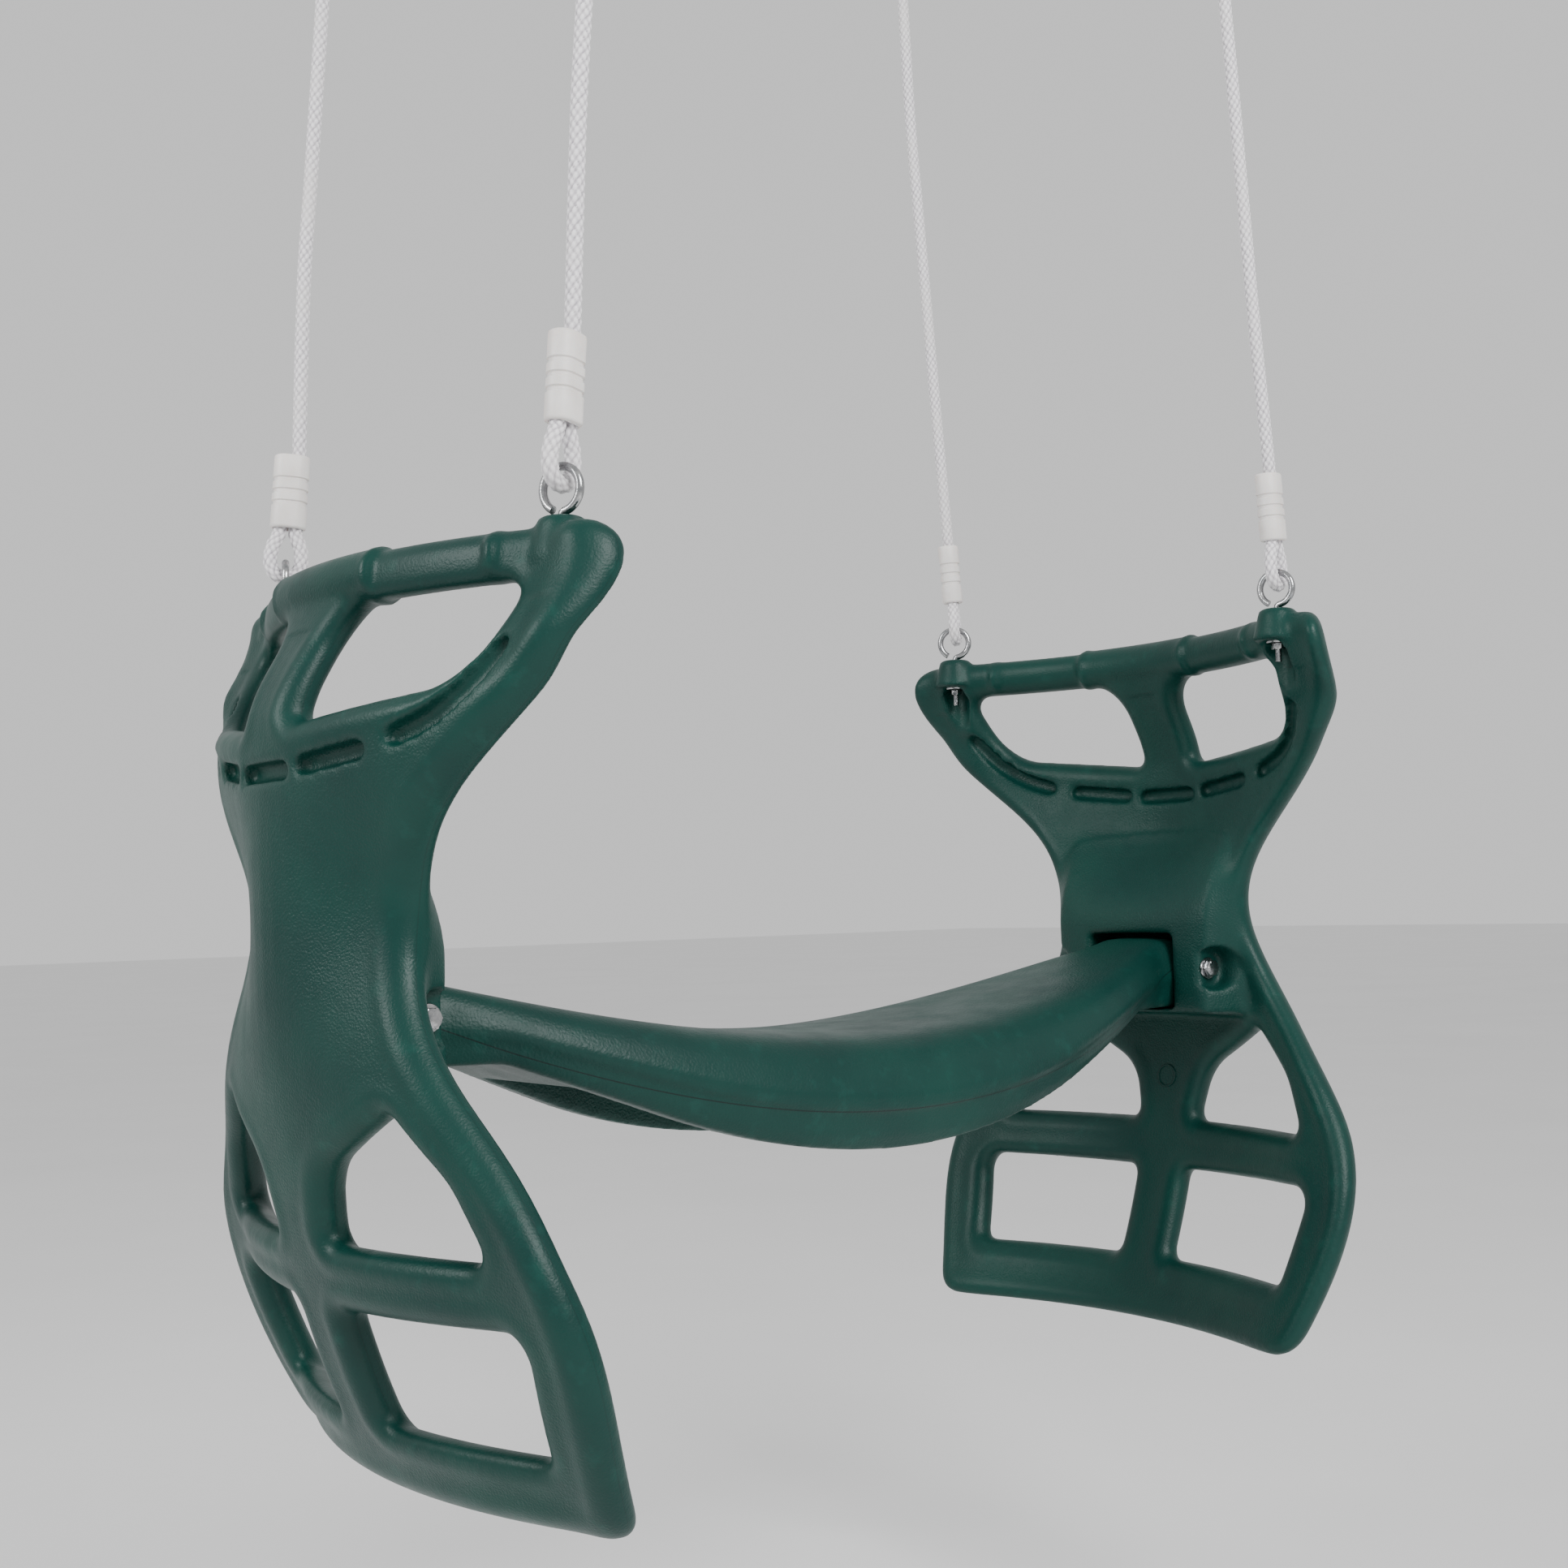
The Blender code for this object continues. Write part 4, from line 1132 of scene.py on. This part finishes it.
# %% Build the seat
SEAT_VOXEL = 0.0024
SEAM_H = 0.221          # height of the mould's parting line at mid length
SEAM_RISE = 0.047       # how much it has risen at SEAM_RISE_X
SEAM_RISE_X = 0.28
SEAM_FROM_Y = 0.09      # nearer the middle there is no line
RAIL_FROM_Y = 0.080     # from here out the top turns into the smooth rail
NOTCH_SIZE = (0.0065, 0.0130, 0.036)
NOTCH_LEAN = 38.0


def both_sides(half):
    """Close a half section that starts on the middle line, or beside it."""
    mirrored = [(-y, h) for y, h in reversed(half) if y > 0.0]
    return half + mirrored


def seat_section():
    crest = [Vector((y, h, 0.0)) for y, h in SEAT_CREST]
    smooth = [tuple(p.to_2d()) for p in evenly(smooth_line(crest), 0.006)]
    return both_sides(smooth + SEAT_SKIRT)


def rail_notch(side):
    """Small upright groove across a rail at mid length."""
    turn = Matrix.Rotation(math.radians(side * NOTCH_LEAN), 4, "X")
    place = Matrix.Translation((0.0, side * 0.112, level(0.260)))
    bm = bmesh.new()
    bmesh.ops.create_cube(bm, size=1.0, matrix=place @ turn @ Matrix.Diagonal((*NOTCH_SIZE, 1.0)))
    return finished("rail_notch", bm, None)


def add_seat():
    stations = [SEAT_END_X * k / 40 for k in range(-40, 41)]
    bm = extruded_bar(seat_section(), stations)
    shape_along_seat(bm)
    body = finished("seat_body", bm, None)
    bm = extruded_bar(both_sides(SEAT_HOLLOW), [x for x in stations if abs(x) < HOLLOW_X])
    shape_along_seat(bm)
    cut = [finished("underside", bm, None), rail_notch(-1), rail_notch(1)]
    bm = reskinned(body, [], cut, SEAT_VOXEL, 2)
    rim = bm.verts.layers.float.new("rim")
    seam = bm.verts.layers.float.new("seam")
    for vert in bm.verts:
        beside = abs(vert.co.y) * SEAT_W / seat_half_width(vert.co.x)
        vert[rim] = smoothstep((beside - RAIL_FROM_Y) / 0.014)
        seam_h = SEAM_H + SEAM_RISE * (vert.co.x / SEAM_RISE_X) ** 2
        vert[seam] = vert.co.z - level(seam_h) + (0.0 if beside > SEAM_FROM_Y else 1.0)
    seat = finished("seat_moulded", bm, seat_green, 60.0)
    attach(seat, "glider")
    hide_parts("seat")
    print(seat.name, len(seat.data.polygons), "faces")


add_seat()

# %% [markdown]
# ## Fasteners
# An eye bolt is one bent wire: almost a full ring, then the shank straight down through the boss,
# with a rolled thread at its end. The nuts and bolt heads are hexagons whose corners are turned off
# at the ends, which is what makes a real nut look machined and not extruded.

# %% Eye bolts
WIRE_R = 0.00275
RING_R = 0.01375
THREAD_PITCH = 0.0009
THREAD_DEPTH = 0.00018  # half the depth of the thread
SHANK_END_H = 0.5625


def eye_path(x, y, heading):
    """Line of the wire, and the run at which its thread starts."""
    across = Vector((-math.sin(heading), math.cos(heading), 0.0))
    centre = Vector((x, y, LOWER_PIVOT_Z - RING_R))
    points = []
    steps = 72
    for k in range(steps):
        turn = math.radians(-62.0 + 330.0 * k / steps)
        points.append(centre + RING_R * (across * math.cos(turn) + Vector((0, 0, 1)) * math.sin(turn)))
    foot = centre - Vector((0, 0, RING_R))
    points.append(foot + Vector((0.0, 0.0, 0.0002)) - across * 0.0022)
    points.append(foot - Vector((0, 0, 0.0008)) - across * 0.0008)
    points.append(foot - Vector((0, 0, 0.0035)))
    thread_top = Vector((x, y, level(BOSS_LOW_H)))
    points += evenly([foot - Vector((0, 0, 0.0060)), thread_top], 0.004)
    start = sum((b - a).length for a, b in zip(points, points[1:]))
    points += evenly([thread_top, Vector((x, y, level(SHANK_END_H)))], THREAD_PITCH / 5)[1:]
    return points, start


def thread_from(start, pitch, depth):
    """Relief of a rolled thread that begins this far along a tube."""
    def relief(around, run):
        if run < start:
            return 0.0
        return -depth * (1.0 + math.cos(2.0 * math.pi * (run / pitch - around)))

    return relief


def add_eye_bolt(tag, x, y, heading):
    path, thread_start = eye_path(x, y, heading)
    bm = bmesh.new()
    rolled_tube(bm, path, WIRE_R, 24, thread_from(thread_start, THREAD_PITCH, THREAD_DEPTH))
    fasten("eye_bolt_" + tag, bm)


def fasten(node, bm, sharp_angle=35.0):
    """Finish a zinc piece that stands for a node of the glider."""
    piece = finished(node + "_zinc", bm, bright_zinc, sharp_angle)
    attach(piece, "glider")
    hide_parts(node)


# %% [markdown]
# Nuts, bolt heads and washers are all one ring drawn through levels. The ring is a hexagon where it
# may be as wide as its corners, and a circle where it is cut back, which makes the chamfers.

# %% Nuts, washers and seat bolts
WASHER_T = 0.0016


def hexagon(turn, half_across, most):
    """Corner of a hexagon, cut back to a circle where that is smaller."""
    from_flat = (turn % (math.pi / 3)) - math.pi / 6
    reach = min(half_across / math.cos(from_flat), most)
    return reach * math.cos(turn), reach * math.sin(turn)


def hex_levels(half_across, thick, bore):
    """Chamfered hexagon; with a bore, the ring comes back down inside it."""
    corner = half_across / math.cos(math.pi / 6)
    full = (half_across, corner)
    cut = (half_across, half_across * 0.98)
    drop = (corner - half_across) * 0.6
    levels = [(0.0, *cut), (drop, *full), (thick - drop, *full), (thick, *cut)]
    if bore:
        levels += [(thick, half_across, bore), (0.0, half_across, bore), levels[0]]
    return levels


def round_levels(outer, thick, bore):
    """Stamped washer with one rounded edge."""
    return [(0.0, outer, outer), (thick * 0.6, outer, outer), (thick, outer, outer - 0.0004),
            (thick, outer, bore), (0.0, outer, bore), (0.0, outer, outer)]


def turned_to(place, axis):
    """Matrix that stands a piece's run along an axis."""
    return Matrix.Translation(place) @ Vector(axis).to_track_quat("Z", "Y").to_matrix().to_4x4()


def round_or_hex(turn, half_across, most):
    if most <= half_across:
        return most * math.cos(turn), most * math.sin(turn)
    return hexagon(turn, half_across, most)


def add_washer(node, outer, bore, place, axis):
    bm = bmesh.new()
    lofted(bm, round_levels(outer, WASHER_T, bore), round_or_hex, turned_to(place, axis), 40, closed=True)
    fasten(node, bm)


def add_nut(node, across, thick, bore, place, axis):
    bm = bmesh.new()
    lofted(bm, hex_levels(across / 2, thick, bore), round_or_hex, turned_to(place, axis), 60, closed=True)
    fasten(node, bm)


EYE_WASHER = (0.0100, 0.0034)           # outer radius and bore
EYE_NUT = (0.010, 0.005, 0.0032)        # width across flats, thickness and bore
SEAT_WASHER = (0.0095, 0.0044)
SEAT_NUT = (0.013, 0.007, 0.0043)
SEAT_HEAD = (0.0065, 0.0055)            # half the width across flats, and thickness
SEAT_SHANK_R = 0.0040
SEAT_THREAD = (0.0011, 0.00022)         # pitch and half the depth
SEAT_THREAD_STEP = 0.00022
THREAD_OUT = 0.011                      # the bolt stands this far past its last washer
HEAD_IN = 0.002                         # the shank starts inside the head

for tag, side_x, side_y, degrees in CORNERS:
    eye_x, eye_y = side_x * EYE_X, side_y * EYE_Y
    add_eye_bolt(tag, eye_x, eye_y, math.radians(degrees))
    washer_top = BOSS_LOW_H - GAP
    add_washer("eye_washer_" + tag, *EYE_WASHER, (eye_x, eye_y, level(washer_top)), (0, 0, -1))
    nut_top = washer_top - WASHER_T - GAP
    add_nut("eye_nut_" + tag, *EYE_NUT, (eye_x, eye_y, level(nut_top)), (0, 0, -1))


def add_seat_bolt(tag, x):
    z = level(SEAT_BOLT_H)
    face = LUG_Y + GAP
    for end, side in (("near", -1), ("far", 1)):
        add_washer("seat_washer_" + tag + "_" + end, *SEAT_WASHER, (x, side * face, z), (0, side, 0))
    rest = face + WASHER_T + GAP
    bm = bmesh.new()
    lofted(bm, hex_levels(*SEAT_HEAD, None), round_or_hex, turned_to((x, -rest, z), (0, -1, 0)), 60)
    last = Vector((x, rest, z))
    end = Vector((x, rest + THREAD_OUT, z))
    shank = evenly([Vector((x, -rest - HEAD_IN, z)), last], 0.02)
    shank += evenly([last, end], SEAT_THREAD_STEP)[1:]
    rolled_tube(bm, shank, SEAT_SHANK_R, 24, thread_from(2 * rest + HEAD_IN, *SEAT_THREAD))
    fasten("seat_bolt_" + tag, bm)
    add_nut("seat_nut_" + tag, *SEAT_NUT, (x, rest, z), (0, 1, 0))


add_seat_bolt("left", -SEAT_BOLT_X)
add_seat_bolt("right", SEAT_BOLT_X)
print("fasteners: 4 eye bolts and 2 seat bolts, with their nuts and washers")

# %% [markdown]
# ## Beam hangers
# A hanger is a steel plate with two screw holes and a bail of bent wire welded under it. The plate
# is cut with round corners, and its edges are broken. Its holes are cut with a Boolean, and the
# wire is rolled round a U-shaped path.

# %% Build the hangers
BAIL_R = 0.0036
BAIL_BEND_R = 0.014
BAIL_REACH = 0.016      # half the width of the bail
BAIL_TOP_Z = -0.003     # the wire's ends lie inside the plate
PLATE_SIZE = (0.044, 0.096)
PLATE_T = 0.005
PLATE_CORNER = 0.007
PLATE_EDGE = 0.0006
SCREW_Y = 0.035         # from a plate's middle to a screw hole
SCREW_R = 0.0042


def plate_object(x, y):
    bm = bmesh.new()
    size = Matrix.Diagonal((*PLATE_SIZE, PLATE_T, 1.0))
    bmesh.ops.create_cube(bm, size=1.0, matrix=Matrix.Translation((x, y, -PLATE_T / 2)) @ size)
    upright = [e for e in bm.edges if abs(e.verts[0].co.z - e.verts[1].co.z) > PLATE_T / 2]
    bmesh.ops.bevel(bm, geom=upright, offset=PLATE_CORNER, offset_type="OFFSET", affect="EDGES",
                    segments=6, profile=0.5, material=-1)
    borders = [e for e in bm.edges if abs(e.verts[0].co.z - e.verts[1].co.z) < 0.0001
               and len(e.link_faces) == 2 and e.calc_face_angle() > 0.5]
    bmesh.ops.bevel(bm, geom=borders, offset=PLATE_EDGE, offset_type="OFFSET", affect="EDGES",
                    segments=2, profile=0.5, material=-1)
    return finished("plate", bm, None)


def add_hanger(tag, x, y):
    plate = plate_object(x, y)
    holes = []
    for hole_y in (y - SCREW_Y, y + SCREW_Y):
        holes.append(rod("screw_hole", (x, hole_y, -0.02), (x, hole_y, 0.02), SCREW_R, sides=40))
    join_and_cut(plate, [], holes)
    bm = applied(plate, holes)
    turn_z = UPPER_PIVOT_Z + BAIL_BEND_R
    near, far = y - BAIL_REACH, y + BAIL_REACH
    path = evenly([Vector((x, near, BAIL_TOP_Z)), Vector((x, near, turn_z))], 0.004)[:-1]
    for k in range(25):
        turn = math.pi * k / 24
        dip = BAIL_BEND_R * math.sin(turn)
        path.append(Vector((x, y - BAIL_REACH * math.cos(turn), turn_z - dip)))
    path += evenly([Vector((x, far, turn_z)), Vector((x, far, BAIL_TOP_Z))], 0.004)[1:]
    rolled_tube(bm, path, BAIL_R, 20)
    hanger = finished("beam_hanger_" + tag + "_steel", bm, hanger_zinc, 35.0)
    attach(hanger, "hangers")
    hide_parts("beam_hanger_" + tag)


for tag, side_x, side_y, _ in CORNERS:
    add_hanger(tag, side_x * HANGER_X, side_y * EYE_Y)
print("hangers:", len(CORNERS), "plates,", round(2 * HANGER_X, 3), "m apart")

# %% [markdown]
# ## Floor and light
# The floor is plain and pale, and lies as far under the feet as a glider hangs above the ground.
# The sky gives an even light, a broad lamp above and beside the camera shapes the panels, and a
# second one off the left end draws soft lines along the bars and rims.

# %% Add the floor and the light
GROUND_CLEARANCE = 0.30
FLOOR_HALF = 30.0


def add_floor():
    bm = bmesh.new()
    bmesh.ops.create_grid(bm, x_segments=1, y_segments=1, size=FLOOR_HALF)
    bmesh.ops.translate(bm, verts=bm.verts, vec=(0.0, 0.0, FEET_Z - GROUND_CLEARANCE))
    finish = Finish("pale_floor")
    patches = finish.group(CLOUDS, "Mask", Scale=1.5, From=0.3, To=0.7)
    finish.feed(finish.blend(patches, (0.80, 0.80, 0.80), (0.83, 0.83, 0.83)), "Base Color")
    finish.shader.inputs["Roughness"].default_value = 0.9
    finished("floor", bm, finish.material)


def add_lamp(name, place, size, power):
    data = bpy.data.lights.new(name, "AREA")
    data.shape = "DISK"
    data.size = size
    data.energy = power
    lamp = bpy.data.objects.new(name, data)
    bpy.context.collection.objects.link(lamp)
    lamp.location = place
    lamp.rotation_mode = "QUATERNION"
    aim = Vector((0.0, 0.0, level(0.3)))
    lamp.rotation_quaternion = (aim - Vector(place)).to_track_quat("-Z", "Y")


def add_sky(strength):
    world = bpy.data.worlds.new("sky")
    world.use_nodes = True
    sky = world.node_tree.nodes["Background"]
    sky.inputs["Color"].default_value = (1.0, 1.0, 1.0, 1.0)
    sky.inputs["Strength"].default_value = strength
    bpy.context.scene.world = world


add_floor()
add_sky(strength=0.8)
add_lamp("key_lamp", (-0.4, -2.6, level(2.0)), size=1.3, power=95.0)
add_lamp("side_lamp", (-2.6, 0.4, level(1.7)), size=1.2, power=45.0)
print("floor", GROUND_CLEARANCE, "m under the feet, two lamps and an even sky")
